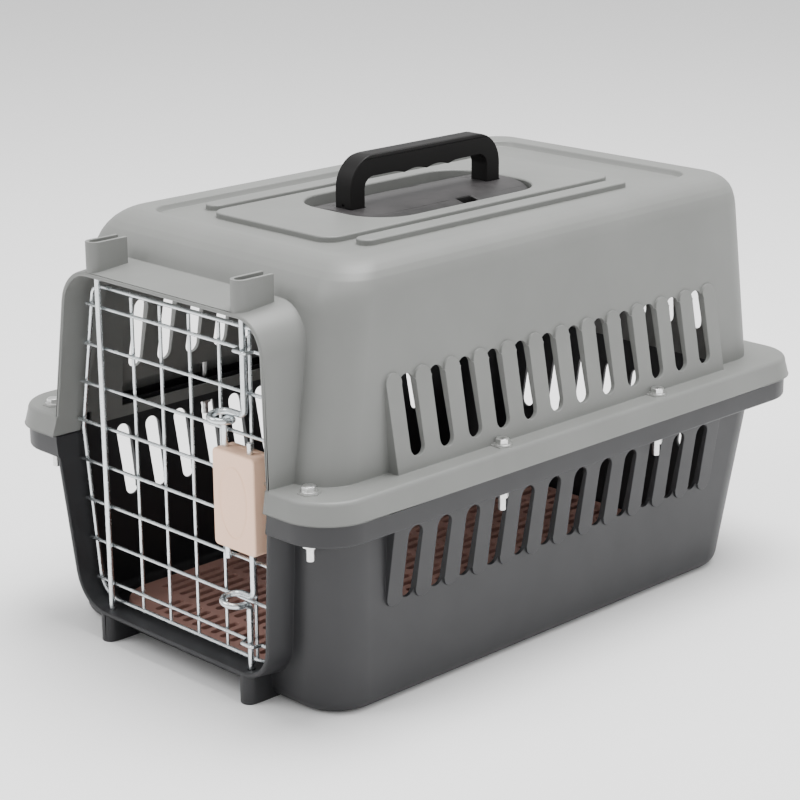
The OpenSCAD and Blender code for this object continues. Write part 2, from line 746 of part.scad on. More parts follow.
module latch_housing() color([0.91, 0.82, 0.74])
    difference() {
        housing_block(housing_front, housing_rear);
        rod_channel(tail_x);
        rod_channel(stem_x);
        // grooves for the two cross wires that it grips
        for (k = [4, 5])
            translate([housing_x[0] - 1, cross_y - wire_r - 0.1, cross_z(k) - wire_r - 0.1])
                cube([housing_x[1] - housing_x[0] + 2, 5, wire_d + 0.2]);
        for (z = screw_z)
            translate([screw_x, housing_rear + 1, z]) rotate([90, 0, 0]) cylinder(r = screw_r, h = 7);
    }

module latch_back() color([0.91, 0.82, 0.74])
    difference() {
        housing_block(housing_rear + weld_gap, housing_rear + weld_gap + back_t);
        translate([upright_x0 + 4 * upright_pitch - wire_r - 0.1, housing_rear - 1, housing_z[0] - 1])
            cube([wire_d + 0.2, upright_y - housing_rear + 1 + wire_r + 0.1, 70]);
        for (z = screw_z)
            translate([screw_x, housing_rear + 10, z]) rotate([90, 0, 0]) cylinder(r = screw_r + 0.2, h = 12);
        for (z = screw_z)
            translate([screw_x, housing_rear + 10, z]) rotate([90, 0, 0])
                cylinder(r = 3.1, h = 10 - back_t + 2);
    }

module latch_screws() color([0.72, 0.73, 0.75])
    for (z = screw_z) translate([screw_x, housing_rear, z]) rotate([90, 0, 0]) {
        translate([0, 0, -back_t + 0.2]) cylinder(r = 2.8, h = 1.8);
        translate([0, 0, -back_t + 1]) cylinder(r = screw_r, h = back_t + 4.5);
    }

// Rod from a vertical run at xa, round a flat finger loop, to a vertical run at xb.
// The loop turns about (loop_x, door_y - loop_r) through turn degrees, as seen from above.
module latch_rod(xa, za, xb, zb, loop_x, loop_z, turn) {
    lead = 1;               // the swept bend starts inside the straight runs
    low = loop_z - loop_drop;
    steps = round(turn / 18);
    loop = [
        for (i = [0:steps])
            let (a = 90 + turn * i / steps)
            [loop_x + loop_r * cos(a), door_y - loop_r + loop_r * sin(a), loop_z - loop_drop * i / steps]
    ];
    last = loop[steps];
    // after a full turn the rod runs on along X, after three quarters it comes back along Y
    back = turn == 360 ? [xb, door_y, low] : [last[0], door_y, low];
    out_r = turn == 360 ? min(bend_r, abs(loop_x - xb) - 0.5) : bend_r;
    wire([
        [xa, door_y, loop_z + bend_r + lead + 1],
        each corner([xa, door_y, loop_z + 10], [xa, door_y, loop_z], [loop_x, door_y, loop_z], bend_r, 6),
        each loop,
        each corner(last, back, back - [0, 0, 10], out_r, 6),
        [xb, door_y, low - bend_r - lead - 1]
    ], rod_r - 0.02, 16);
    translate([xa, door_y, loop_z + bend_r + lead]) cylinder(r = rod_r, h = za - loop_z - bend_r - lead);
    translate([xb, door_y, zb]) cylinder(r = rod_r, h = low - bend_r - lead - zb);
}

module upper_latch_rod() color([0.78, 0.80, 0.82])
    latch_rod(tab_x, pin_top_z, tail_x, tail_low_z, upper_loop_x, upper_loop_z, 360);

module lower_latch_rod() color([0.78, 0.80, 0.82])
    latch_rod(stem_x, stem_top_z, tab_x, pin_low_z, lower_loop_x, lower_loop_z, 270);

module stop_ring(x, z) {
    translate([x, door_y, z]) difference() {
        cylinder(r = stop_r, h = stop_h);
        translate([0, 0, -1]) cylinder(r = rod_r, h = stop_h + 2);
    }
}

module spring(x, z0, z1) {
    h = z1 - z0 - 2 * spring_wire_r;
    steps = 12 * spring_turns;
    wire([
        for (i = [0:steps])
            [x + spring_r * cos(30 * i), door_y + spring_r * sin(30 * i), z0 + spring_wire_r + h * i / steps]
    ], spring_wire_r, 6);
}

upper_stop_z = chamber_z[1] - stop_gap - stop_h;
lower_stop_z = chamber_z[0] + stop_gap;
module upper_stop_ring() color([0.55, 0.56, 0.58]) stop_ring(tail_x, upper_stop_z);
module lower_stop_ring() color([0.55, 0.56, 0.58]) stop_ring(stem_x, lower_stop_z);
module upper_spring() color([0.65, 0.66, 0.68])
    spring(tail_x, chamber_z[0] + 0.05, upper_stop_z - 0.05);
module lower_spring() color([0.65, 0.66, 0.68])
    spring(stem_x, lower_stop_z + stop_h + 0.05, chamber_z[1] - 0.05);

lower_shell();
upper_shell();
floor_mat();
flange_bolts();
flange_nuts();
handle_base();
handle_pins();
handle();
door_frame();
hinge_rod();
cross_wire(1);  // cross_wire_1
cross_wire(2);  // cross_wire_2
cross_wire(3);  // cross_wire_3
cross_wire(4);  // cross_wire_4
cross_wire(5);  // cross_wire_5
cross_wire(6);  // cross_wire_6
cross_wire(7);  // cross_wire_7
cross_wire(8);  // cross_wire_8
upright_wire(1);  // upright_wire_1
upright_wire(2);  // upright_wire_2
upright_wire(3);  // upright_wire_3
upright_wire(4);  // upright_wire_4
upright_wire(5);  // upright_wire_5
latch_housing();
latch_back();
latch_screws();
upper_latch_rod();
upper_stop_ring();
upper_spring();
lower_latch_rod();
lower_stop_ring();
lower_spring();
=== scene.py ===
import math

import bmesh
import bpy
from mathutils import Matrix, Vector


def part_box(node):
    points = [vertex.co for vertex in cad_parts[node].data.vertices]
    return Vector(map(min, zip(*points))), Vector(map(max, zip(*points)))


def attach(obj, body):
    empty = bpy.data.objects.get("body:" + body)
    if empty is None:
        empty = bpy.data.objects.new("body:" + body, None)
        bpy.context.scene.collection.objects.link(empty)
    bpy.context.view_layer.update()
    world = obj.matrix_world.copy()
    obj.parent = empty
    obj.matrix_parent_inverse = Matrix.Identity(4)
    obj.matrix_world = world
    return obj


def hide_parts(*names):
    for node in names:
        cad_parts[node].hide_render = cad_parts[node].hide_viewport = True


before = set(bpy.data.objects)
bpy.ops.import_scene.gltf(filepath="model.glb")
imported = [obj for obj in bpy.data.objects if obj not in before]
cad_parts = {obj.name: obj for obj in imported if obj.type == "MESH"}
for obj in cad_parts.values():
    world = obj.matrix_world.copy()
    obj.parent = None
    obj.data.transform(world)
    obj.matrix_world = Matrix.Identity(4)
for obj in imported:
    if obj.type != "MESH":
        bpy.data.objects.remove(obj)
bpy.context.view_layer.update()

# Shapes are written in millimetres in the row frame and scaled to metres as each mesh is made.
MM = 0.001


# ------------------------------------------------------------ frame sizes
def box_mm(node):
    low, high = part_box(node)
    return low / MM, high / MM


def middle(node):
    low, high = box_mm(node)
    return (low + high) / 2


UPPER_HIGH = box_mm("upper_shell")[1]
LOWER_HIGH = box_mm("lower_shell")[1]
WELL_PAN_LOW, WELL_PAN_HIGH = box_mm("handle_base")
HANDLE_LOW, HANDLE_HIGH = box_mm("handle")
FLANGE_HALF = UPPER_HIGH.x
FLANGE_END = UPPER_HIGH.y
DOOR_Y = middle("hinge_rod").y
ROD_R = (box_mm("hinge_rod")[1].x - box_mm("hinge_rod")[0].x) / 2
TAB_X = -middle("hinge_rod").x
TOP_Z = 282.0
SPLIT_Z = LOWER_HIGH.z + 0.5

WALL = 2.8
PLATE_T = 2.6
UPPER_FLANGE_Z = SPLIT_Z + 14
LOWER_FLANGE_Z = SPLIT_Z - 15
FLANGE_R = 35.0
LIP_Z = SPLIT_Z - 10


def upper_half(z):
    return 134.5 - 0.068 * (z - UPPER_FLANGE_Z)


def upper_front(z):
    return DOOR_Y + 6 + 0.21 * (z - UPPER_FLANGE_Z)


def upper_rear(z):
    return 211.5 - 0.066 * (z - UPPER_FLANGE_Z)


def lower_half(z):
    return 141 - 0.056 * (LOWER_FLANGE_Z - z)


def lower_front(z):
    return DOOR_Y + 6 + 0.05 * (LOWER_FLANGE_Z - z)


def lower_rear(z):
    return 211.5 - 0.2 * (LOWER_FLANGE_Z - z)


# ------------------------------------------------------------ mesh helpers
def mesh_object(name, verts, faces):
    mesh = bpy.data.meshes.new(name)
    mesh.from_pydata([Vector(v) * MM for v in verts], [], faces)
    mesh.validate()
    bm = bmesh.new()
    bm.from_mesh(mesh)
    bmesh.ops.recalc_face_normals(bm, faces=bm.faces)
    bm.to_mesh(mesh)
    bm.free()
    obj = bpy.data.objects.new(name, mesh)
    bpy.context.scene.collection.objects.link(obj)
    return obj


def loft(name, rings, caps=True, closed=False):
    """Closed surface through rings of equal length; closed joins the last ring to the first."""
    n = len(rings[0])
    verts = [v for ring in rings for v in ring]
    faces = []
    for i in range(len(rings) if closed else len(rings) - 1):
        j = (i + 1) % len(rings)
        for k in range(n):
            m = (k + 1) % n
            faces.append((i * n + k, i * n + m, j * n + m, j * n + k))
    if caps and not closed:
        faces.append(tuple(range(n - 1, -1, -1)))
        faces.append(tuple(range((len(rings) - 1) * n, len(rings) * n)))
    return mesh_object(name, verts, faces)


def place(axis, u, v, w):
    """(u, v) in the plane across axis, w along it."""
    return {"x": (w, u, v), "y": (u, w, v), "z": (u, v, w)}[axis]


def prism(name, outline, axis, low, high):
    return loft(name, [[place(axis, u, v, w) for u, v in outline] for w in (low, high)])


def plain_rect(u0, u1, v0, v1):
    return [(u0, v0), (u1, v0), (u1, v1), (u0, v1)]


def arc_points(centre, radius, start, stop, count):
    return [
        (centre[0] + radius * math.cos(math.radians(a)), centre[1] + radius * math.sin(math.radians(a)))
        for a in [start + (stop - start) * i / count for i in range(count + 1)]
    ]


def corner_arc(p0, p1, p2, radius, count):
    """Fillet at p1 between the lines to p0 and p2, in 2-D or 3-D."""
    p0, p1, p2 = Vector(p0), Vector(p1), Vector(p2)
    u, v = (p0 - p1).normalized(), (p2 - p1).normalized()
    half = math.acos(max(-1, min(1, u.dot(v)))) / 2
    centre = p1 + (u + v).normalized() * radius / math.sin(half)
    a = p1 + u * radius / math.tan(half) - centre
    b = p1 + v * radius / math.tan(half) - centre
    phi = a.angle(b)
    return [
        centre + (a * math.sin((1 - i / count) * phi) + b * math.sin(i / count * phi)) / math.sin(phi)
        for i in range(count + 1)
    ]


def flat_arc(p0, p1, p2, radius, count):
    """The same fillet in 2-D, as plain pairs."""
    return [tuple(p) for p in corner_arc(p0, p1, p2, radius, count)]


def round_outline(points, count):
    """points holds (u, v, radius); every corner of the closed outline is filleted."""
    out = []
    for i, (u, v, r) in enumerate(points):
        before, after = points[i - 1][:2], points[(i + 1) % len(points)][:2]
        out += [tuple(p) for p in corner_arc(before, (u, v), after, r, count)]
    return out


def rounded_rect(x0, x1, y0, y1, r, count=8):
    return round_outline([(x0, y0, r), (x1, y0, r), (x1, y1, r), (x0, y1, r)], count)


def slot_outline(mid, width, low, top, count=8):
    r = width / 2
    return arc_points((mid, top - r), r, 0, 180, count) + arc_points((mid, low + r), r, 180, 360, count)


def join(objs):
    """Joins objects into the first one."""
    bm = bmesh.new()
    for o in objs:
        bm.from_mesh(o.data)
    bm.to_mesh(objs[0].data)
    bm.free()
    for o in objs[1:]:
        bpy.data.objects.remove(o)
    return objs[0]


def freeze(obj):
    """Applies every modifier."""
    graph = bpy.context.evaluated_depsgraph_get()
    mesh = bpy.data.meshes.new_from_object(obj.evaluated_get(graph))
    obj.modifiers.clear()
    obj.data = mesh
    return obj


def combine(obj, tool, operation):
    mod = obj.modifiers.new("combine", "BOOLEAN")
    mod.operation = operation
    mod.solver = "EXACT"
    mod.object = tool
    freeze(obj)
    bpy.data.objects.remove(tool)
    return obj


def cut(obj, *tools):
    return combine(obj, join(list(tools)), "DIFFERENCE")


def add(obj, *tools):
    for tool in tools:
        combine(obj, tool, "UNION")
    return obj


def keep_inside(obj, tool):
    return combine(obj, tool, "INTERSECT")


def clean(obj, distance=0.02, angle=0.3, seams=()):
    """Merges doubled points and the flat splits that boolean work leaves.

    seams are Y planes that split the faces through their holes, so that no face is left with a hole.
    """
    bm = bmesh.new()
    bm.from_mesh(obj.data)
    bmesh.ops.remove_doubles(bm, verts=bm.verts, dist=distance * MM)
    bmesh.ops.dissolve_limit(bm, angle_limit=math.radians(angle), verts=bm.verts, edges=bm.edges)
    for y in seams:
        geom = bm.verts[:] + bm.edges[:] + bm.faces[:]
        bmesh.ops.bisect_plane(bm, geom=geom, dist=0.001 * MM, plane_co=(0, y * MM, 0), plane_no=(0, 1, 0))
    if seams:
        near = 0.005 * MM
        loose = [
            e for e in bm.edges
            if not any(all(abs(v.co.y - y * MM) < near for v in e.verts) for y in seams)
        ]
        bmesh.ops.dissolve_limit(bm, angle_limit=math.radians(angle), verts=[], edges=loose)
    bmesh.ops.dissolve_degenerate(bm, dist=distance * MM, edges=bm.edges)
    bmesh.ops.recalc_face_normals(bm, faces=bm.faces)
    bm.to_mesh(obj.data)
    bm.free()
    return obj


def roomy_edges(mesh, width, angle):
    """Marks the sharp edges that a rounding of this width fits on; crowded corners are left out."""
    bm = bmesh.new()
    bm.from_mesh(mesh)
    layers, key = bm.edges.layers.float, "bevel_weight_edge"
    weight = layers.get(key) or layers.new(key)
    limit, shortest = math.radians(angle), 0.02 * MM
    sharp = {
        e for e in bm.edges
        if len(e.link_faces) == 2 and e.calc_face_angle(0) > limit and e.calc_length() > shortest
    }
    crowded = {v for v in bm.verts if sum(e in sharp for e in v.link_edges) > 3}
    for e in bm.edges:
        e[weight] = 0.0
        if e not in sharp or crowded.intersection(e.verts):
            continue
        fits = True
        for v in e.verts:
            along = (e.other_vert(v).co - v.co).normalized()
            for side in v.link_edges:
                if side is e or side.calc_length() > 1.1 * width * MM:
                    continue
                away = (side.other_vert(v).co - v.co).normalized()
                if abs(along.dot(away)) < 0.82:
                    fits = False
        e[weight] = 1.0 if fits else 0.0
    bm.to_mesh(mesh)
    bm.free()


def soften(obj, width, segments=2, angle=32, every=False):
    """Rounds the sharp edges, or only those with room for it, and shades the rest smooth."""
    mod = obj.modifiers.new("edges", "BEVEL")
    mod.width = width * MM
    mod.segments = segments
    mod.angle_limit = math.radians(angle)
    mod.limit_method = "ANGLE"
    if not every:
        roomy_edges(obj.data, width, angle)
        mod.limit_method = "WEIGHT"
    mod.use_clamp_overlap = False
    mod.miter_outer = "MITER_ARC"
    freeze(obj)
    return smooth(obj)


def smooth(obj, angle=40):
    obj.data.polygons.foreach_set("use_smooth", [True] * len(obj.data.polygons))
    bm = bmesh.new()
    bm.from_mesh(obj.data)
    for e in bm.edges:
        e.smooth = len(e.link_faces) == 2 and e.calc_face_angle(0) < math.radians(angle)
    bm.to_mesh(obj.data)
    bm.free()
    mod = obj.modifiers.new("normals", "WEIGHTED_NORMAL")
    mod.keep_sharp = True
    mod.weight = 80
    return freeze(obj)


def tube(name, path, radius, sides=20, closed=False, tip=0.35):
    """Round wire along a path; open ends are domed."""
    points = [Vector(p) for p in path]
    n = len(points)
    radii = [radius] * n
    if not closed:
        first, last = (points[0] - points[1]).normalized(), (points[-1] - points[-2]).normalized()
        dome = [(radius * tip * (1 - math.cos(a)), radius * (1 - tip + tip * math.sin(a)))
                for a in (0, math.pi / 6, math.pi / 3)]
        head = [(points[0] - first * d, r) for d, r in dome]
        tail = [(points[-1] - last * d, r) for d, r in reversed(dome)]
        radii = [r for _, r in head] + radii[1:-1] + [r for _, r in tail]
        points = [p for p, _ in head] + points[1:-1] + [p for p, _ in tail]
        n = len(points)
    tangents = []
    for i in range(n):
        a = points[(i - 1) % n] if closed else points[max(i - 1, 0)]
        b = points[(i + 1) % n] if closed else points[min(i + 1, n - 1)]
        tangents.append((b - a).normalized())
    seed = Vector((0, 1, 0)) if abs(tangents[0].y) < 0.9 else Vector((0, 0, 1))
    normal = (seed - tangents[0] * seed.dot(tangents[0])).normalized()
    rings = []
    for p, t, r in zip(points, tangents, radii):
        normal = (normal - t * normal.dot(t)).normalized()
        side = t.cross(normal)
        rings.append([
            p + (normal * math.cos(a) + side * math.sin(a)) * r
            for a in [2 * math.pi * k / sides for k in range(sides)]
        ])
    return smooth(loft(name, rings, closed=closed))


def rounded_path(points, radius, count=6):
    out = [Vector(points[0])]
    for i in range(1, len(points) - 1):
        out += corner_arc(points[i - 1], points[i], points[i + 1], radius, count)
    return out + [Vector(points[-1])]


def lathe(name, profile, centre, axis="z", sides=32):
    """Turned piece: profile holds (radius, height) from one end to the other."""
    rings = []
    for r, h in profile:
        ring = []
        for k in range(sides):
            a = 2 * math.pi * k / sides
            u, v = r * math.cos(a), r * math.sin(a)
            p = {"x": (h, u, v), "y": (v, h, u), "z": (u, v, h)}[axis]
            ring.append(Vector(centre) + Vector(p))
        rings.append(ring)
    return loft(name, rings)


# ------------------------------------------------------------ materials
def noise(tree, scale, detail=3.0, source="Object"):
    coords = tree.nodes.new("ShaderNodeTexCoord")
    node = tree.nodes.new("ShaderNodeTexNoise")
    node.inputs["Scale"].default_value = scale
    node.inputs["Detail"].default_value = detail
    tree.links.new(coords.outputs[source], node.inputs["Vector"])
    return node


def ramp(tree, source, low, high, stops):
    node = tree.nodes.new("ShaderNodeValToRGB")
    node.color_ramp.elements[0].position = low
    node.color_ramp.elements[0].color = (*stops[0], 1)
    node.color_ramp.elements[1].position = high
    node.color_ramp.elements[1].color = (*stops[1], 1)
    tree.links.new(source, node.inputs["Fac"])
    return node


def spread(tree, source, low, high):
    node = tree.nodes.new("ShaderNodeMapRange")
    node.inputs["To Min"].default_value = low
    node.inputs["To Max"].default_value = high
    tree.links.new(source, node.inputs["Value"])
    return node


def blank(name):
    mat = bpy.data.materials.new(name)
    mat.use_nodes = True
    return mat, mat.node_tree, mat.node_tree.nodes["Principled BSDF"]


def bump(tree, shader, heights, strength, distance):
    node = tree.nodes.new("ShaderNodeBump")
    node.inputs["Strength"].default_value = strength
    node.inputs["Distance"].default_value = distance
    tree.links.new(heights, node.inputs["Height"])
    tree.links.new(node.outputs["Normal"], shader.inputs["Normal"])
    return node


def moulded(name, colour, roughness, grain=2600.0, grain_depth=0.00003, variation=0.06, specular=0.45):
    """Moulded plastic: faint cloudy colour, uneven gloss and a fine spark-eroded grain."""
    mat, tree, shader = blank(name)
    shader.inputs["Specular IOR Level"].default_value = specular
    cloud = noise(tree, 14.0, 4.0)
    dark = tuple(c * (1 - variation) for c in colour)
    light = tuple(min(1, c * (1 + variation)) for c in colour)
    tone = ramp(tree, cloud.outputs["Fac"], 0.3, 0.7, (dark, light))
    tree.links.new(tone.outputs["Color"], shader.inputs["Base Color"])
    gloss = noise(tree, 45.0, 5.0)
    rough = spread(tree, gloss.outputs["Fac"], roughness - 0.08, roughness + 0.08)
    tree.links.new(rough.outputs["Result"], shader.inputs["Roughness"])
    fine = noise(tree, grain, 2.0)
    bump(tree, shader, fine.outputs["Fac"], 0.5, grain_depth)
    return mat


def scuffed_with_painted_highlight(name, colour, worn_and_lit_colour, roughness):
    """Plastic with pale rubbed patches, painted paler towards its crown as a painted highlight."""
    mat, tree, shader = blank(name)
    geometry = tree.nodes.new("ShaderNodeNewGeometry")
    split = tree.nodes.new("ShaderNodeSeparateXYZ")
    tree.links.new(geometry.outputs["Position"], split.inputs["Vector"])
    # painted highlight: the pale rubbed patches grow stronger with height, most on the crown
    height = tree.nodes.new("ShaderNodeMapRange")
    height.inputs["From Min"].default_value = (WELL_PAN_HIGH.z - 9) * MM
    height.inputs["From Max"].default_value = WELL_PAN_HIGH.z * MM
    tree.links.new(split.outputs["Z"], height.inputs["Value"])
    patches = noise(tree, 55.0, 8.0)
    patches.inputs["Roughness"].default_value = 0.7
    wear_and_highlight_mask = tree.nodes.new("ShaderNodeMath")
    wear_and_highlight_mask.operation = "MULTIPLY"
    tree.links.new(height.outputs["Result"], wear_and_highlight_mask.inputs[0])
    tree.links.new(patches.outputs["Fac"], wear_and_highlight_mask.inputs[1])
    tone = ramp(tree, wear_and_highlight_mask.outputs["Value"], 0.18, 0.62, (colour, worn_and_lit_colour))
    tree.links.new(tone.outputs["Color"], shader.inputs["Base Color"])
    rough = spread(tree, patches.outputs["Fac"], roughness - 0.1, roughness + 0.12)
    tree.links.new(rough.outputs["Result"], shader.inputs["Roughness"])
    fine = noise(tree, 900.0, 3.0)
    bump(tree, shader, fine.outputs["Fac"], 0.6, 0.00004)
    return mat


def plated(name, colour, roughness, streak=160.0):
    """Bright zinc plate with faint drawn streaks and dull spots."""
    mat, tree, shader = blank(name)
    shader.inputs["Metallic"].default_value = 1.0
    cloud = noise(tree, streak, 4.0)
    dark = tuple(c * 0.86 for c in colour)
    tone = ramp(tree, cloud.outputs["Fac"], 0.35, 0.65, (dark, colour))
    tree.links.new(tone.outputs["Color"], shader.inputs["Base Color"])
    rough = spread(tree, cloud.outputs["Fac"], roughness - 0.06, roughness + 0.1)
    tree.links.new(rough.outputs["Result"], shader.inputs["Roughness"])
    fine = noise(tree, 1400.0, 3.0)
    bump(tree, shader, fine.outputs["Fac"], 0.25, 0.00002)
    return mat


GREY = moulded("shell_grey", (0.182, 0.186, 0.178), 0.46)
CHARCOAL = moulded("shell_charcoal", (0.020, 0.020, 0.022), 0.46, variation=0.10)
BROWN = moulded("mat_brown", (0.44, 0.24, 0.20), 0.55, variation=0.12)
BLACK = moulded("handle_black", (0.005, 0.0045, 0.0045), 0.46, variation=0.12, specular=0.2)
# the pale second colour is partly wear and partly a painted highlight on the pan's crown
PAN_BLACK = scuffed_with_painted_highlight("handle_pan_black", (0.009, 0.0085, 0.0085), (0.036, 0.033, 0.034), 0.46)
BEIGE = moulded("latch_beige", (0.98, 0.64, 0.46), 0.44, variation=0.015)
WIRE = plated("zinc_wire", (0.80, 0.84, 0.86), 0.24)
HARDWARE = plated("zinc_hardware", (0.82, 0.82, 0.81), 0.28, streak=420.0)
SPRING = plated("spring_steel", (0.55, 0.55, 0.56), 0.35)


def finish_piece(obj, material, body, slot, *nodes):
    obj.data.materials.clear()
    obj.data.materials.append(material)
    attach(obj, body)
    if nodes:
        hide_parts(*nodes)
    return obj


def dress_node(name, material):
    """Gives a CAD node that stays visible its material."""
    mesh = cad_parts[name].data
    mesh.materials.clear()
    mesh.materials.append(material)


# ------------------------------------------------------------ shared outlines
DOOR_HALF, DOOR_TOP_HALF, DOOR_BASE_HALF = 105.0, 94.0, 92.0
DOOR_TOP_Z, SILL_Z = 251.0, 21.5
COLLAR_FRONT = DOOR_Y - 14
COLLAR_RAKE = math.tan(math.radians(3))
ARC = 8


def doorway_outline(grow):
    """The doorway's outline, grown outwards by grow."""
    return round_outline([
        (DOOR_HALF + grow, SPLIT_Z, 30),
        (DOOR_TOP_HALF + grow, DOOR_TOP_Z + grow, 22 + grow),
        (-DOOR_TOP_HALF - grow, DOOR_TOP_Z + grow, 22 + grow),
        (-DOOR_HALF - grow, SPLIT_Z, 30),
        (-DOOR_BASE_HALF - grow, SILL_Z - grow, 24 + grow),
        (DOOR_BASE_HALF + grow, SILL_Z - grow, 24 + grow),
    ], ARC)


def collar_front_y(z):
    return COLLAR_FRONT + COLLAR_RAKE * abs(z - SPLIT_Z)


def collar_ring(name, depth):
    """The doorway's collar as a closed band: a rounded lip in front, a drafted outer side."""
    steps = [
        (0.0, 1.2), (0.4, 0.35), (1.5, 0.0), (2.6, 0.35),
        (3.0, 1.2), (3.6, 8.0), (7.5, depth), (0.0, depth),
    ]
    rings = []
    for grow, back in steps:
        rings.append([(x, collar_front_y(z) + back, z) for x, z in doorway_outline(grow)])
    return loft(name, rings, closed=True)


def doorway_tool(name):
    return prism(name, doorway_outline(0.05), "y", -FLANGE_END - 5, DOOR_Y + 60)


def jamb(name, side, front, low, high):
    """Solid foot between the flange's skirt and the collar, beside the doorway."""
    x0, x1 = sorted((side * (DOOR_HALF - 1), side * (DOOR_HALF + 7)))
    return prism(name, plain_rect(x0, x1, front, DOOR_Y + 6), "z", low, high)


def half_space(name, low_z, high_z):
    return prism(name, plain_rect(-250, 250, -350, 350), "z", low_z, high_z)


SLOT_W = 12.0
SLOT_COUNT = 12
SLOT_PITCH = 25.55
UPPER_SLOT_Z = (160, 210.5)
LOWER_SLOT_Z = (69, 118.5)
PANEL_L = 319.0


def slot_mid(i):
    return (i - (SLOT_COUNT - 1) / 2) * SLOT_PITCH


def side_slot_tools(name, low, top, shift):
    tools = []
    for side in (-1, 1):
        for i in range(SLOT_COUNT):
            outline = slot_outline(slot_mid(i) + shift, SLOT_W, low, top)
            ends = sorted((side * 118, side * 160))
            tools.append(prism(name, outline, "x", *ends))
    return tools


REAR_SLOTS = 7
REAR_PITCH = 26.0


def rear_slot_tools(name, low, top):
    return [
        prism(name, slot_outline((i - (REAR_SLOTS - 1) / 2) * REAR_PITCH, SLOT_W, low, top), "y", 170, 225)
        for i in range(REAR_SLOTS)
    ]


def bolt_places():
    """Axis of each flange bolt, from the CAD bolts themselves."""
    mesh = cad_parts["flange_bolts"].data
    clusters = []
    for v in mesh.vertices:
        p = v.co / MM
        for c in clusters:
            if (c[0] - Vector((p.x, p.y))).length < 12:
                c[1].append(p)
                break
        else:
            clusters.append((Vector((p.x, p.y)), [p]))
    places = []
    for _, pts in clusters:
        xs, ys = [p.x for p in pts], [p.y for p in pts]
        places.append(((min(xs) + max(xs)) / 2, (min(ys) + max(ys)) / 2))
    return places


BOLTS = bolt_places()


def rod_tools(name, low, high):
    """Bores for the hinge rod and for the latch pin."""
    left = lathe(name, [(ROD_R + 0.1, low), (ROD_R + 0.1, high)], (-TAB_X, DOOR_Y, 0))
    right = lathe(name, [(ROD_R + 0.5, low), (ROD_R + 0.5, high)], (TAB_X, DOOR_Y, 0))
    return [left, right]


TAB_W, TAB_WALL, TAB_L = 12.0, 2.6, 28.0


def hairpin(name, side, low, high):
    """Tab or foot bent like a hairpin: round nose in front, open at the back."""
    x, nose = side * TAB_X, DOOR_Y - TAB_W / 2 - (0.8 if low > SPLIT_Z else 2)
    mid = nose + TAB_W / 2
    outer, inner = TAB_W / 2, TAB_W / 2 - TAB_WALL
    outline = (
        [(x + outer, nose + TAB_L)]
        + arc_points((x, mid), outer, 0, -180, 12)
        + [(x - outer, nose + TAB_L), (x - inner, nose + TAB_L)]
        + arc_points((x, mid), inner, 180, 360, 12)
        + [(x + inner, nose + TAB_L)]
    )
    return prism(name, outline, "z", low, high)


# ------------------------------------------------------------ upper shell
TOP_SKIN = 7.0
SIDE_EDGE, FRONT_EDGE, REAR_EDGE = (20.0, 20.0), (26.0, 30.0), (9.0, 10.0)
UPPER_PLAN_R = 26.0


def edge_inset(z, edge):
    """How far the wall has turned in at height z, for an elliptical top edge (reach, height)."""
    reach, height = edge
    rise = max(0.0, (z - (TOP_Z - height)) / height)
    return reach * (1 - math.sqrt(max(0.0, 1 - rise * rise)))


def upper_ring(z, t):
    side = edge_inset(z, SIDE_EDGE)
    hx = upper_half(z) - side - t
    y0 = upper_front(z) + edge_inset(z, FRONT_EDGE) + t
    y1 = upper_rear(z) - edge_inset(z, REAR_EDGE) - t
    r = max(UPPER_PLAN_R - t - 0.45 * side, 8)
    return [(x, y, z) for x, y in rounded_rect(-hx, hx, y0, y1, r, 10)]


def upper_levels(low):
    curve = [TOP_Z - FRONT_EDGE[1] * (1 - math.sin(math.radians(a))) for a in range(0, 91, 10)]
    fine = [TOP_Z - REAR_EDGE[1] * (1 - math.sin(math.radians(a))) for a in (0, 22, 45, 62, 76)]
    return sorted(set([low] + curve + fine))


def upper_body(name, low, t, ceiling=None):
    levels = upper_levels(low)
    if ceiling is not None:
        levels = [z for z in levels if z < ceiling - 0.5] + [ceiling]
    return loft(name, [upper_ring(z, t) for z in levels])


def flange_ring(inset, z):
    return [
        (x, y, z) for x, y in rounded_rect(
            -FLANGE_HALF + inset, FLANGE_HALF - inset, -FLANGE_END + inset, FLANGE_END - inset,
            FLANGE_R - inset, 10)
    ]


RIM_Z = SPLIT_Z - 0.42      # the rim comes down almost onto the lower one and laps over it
RIM_T = 4.8


def upper_flange(name):
    profile = [(0.6, RIM_Z), (0.0, RIM_Z + 0.6), (2.6, UPPER_FLANGE_Z - 4.0)]
    profile += [
        (2.6 + 3.2 * (1 - math.cos(math.radians(a))), UPPER_FLANGE_Z - 4.0 + 4.0 * math.sin(math.radians(a)))
        for a in (18, 36, 54, 72, 90)
    ]
    tray = loft(name, [flange_ring(i, z) for i, z in profile])
    hollow = loft(name, [flange_ring(RIM_T, SPLIT_Z - 1), flange_ring(RIM_T + 1, UPPER_FLANGE_Z - PLATE_T)])
    return cut(tray, hollow)


PANEL_TOP = 213.3
UPPER_PROUD = 8.5
RIB_LIFT = 1.5


def rib_ends():
    """Mid and half width of the 13 ribs between and beside the slots."""
    ribs = [(-PANEL_L / 2 + 6.8, 6.8)]
    ribs += [(slot_mid(i) + SLOT_PITCH / 2, (SLOT_PITCH - SLOT_W) / 2) for i in range(SLOT_COUNT - 1)]
    return ribs + [(PANEL_L / 2 - 6.8, 6.8)]


def panel_outline(shift, base, tip, inset=0.0):
    """Scalloped outline of a vent panel: straight at the flange, one round tongue per rib at tip."""
    up = 1 if tip > base else -1
    points = [(PANEL_L / 2 + shift - inset, base), (-PANEL_L / 2 + shift + inset, base)]
    for mid, half in rib_ends():
        r = half - inset
        start, stop = (180, 0) if up > 0 else (180, 360)
        points += arc_points((mid + shift, tip - up * half), r, start, stop, 10)
    return points


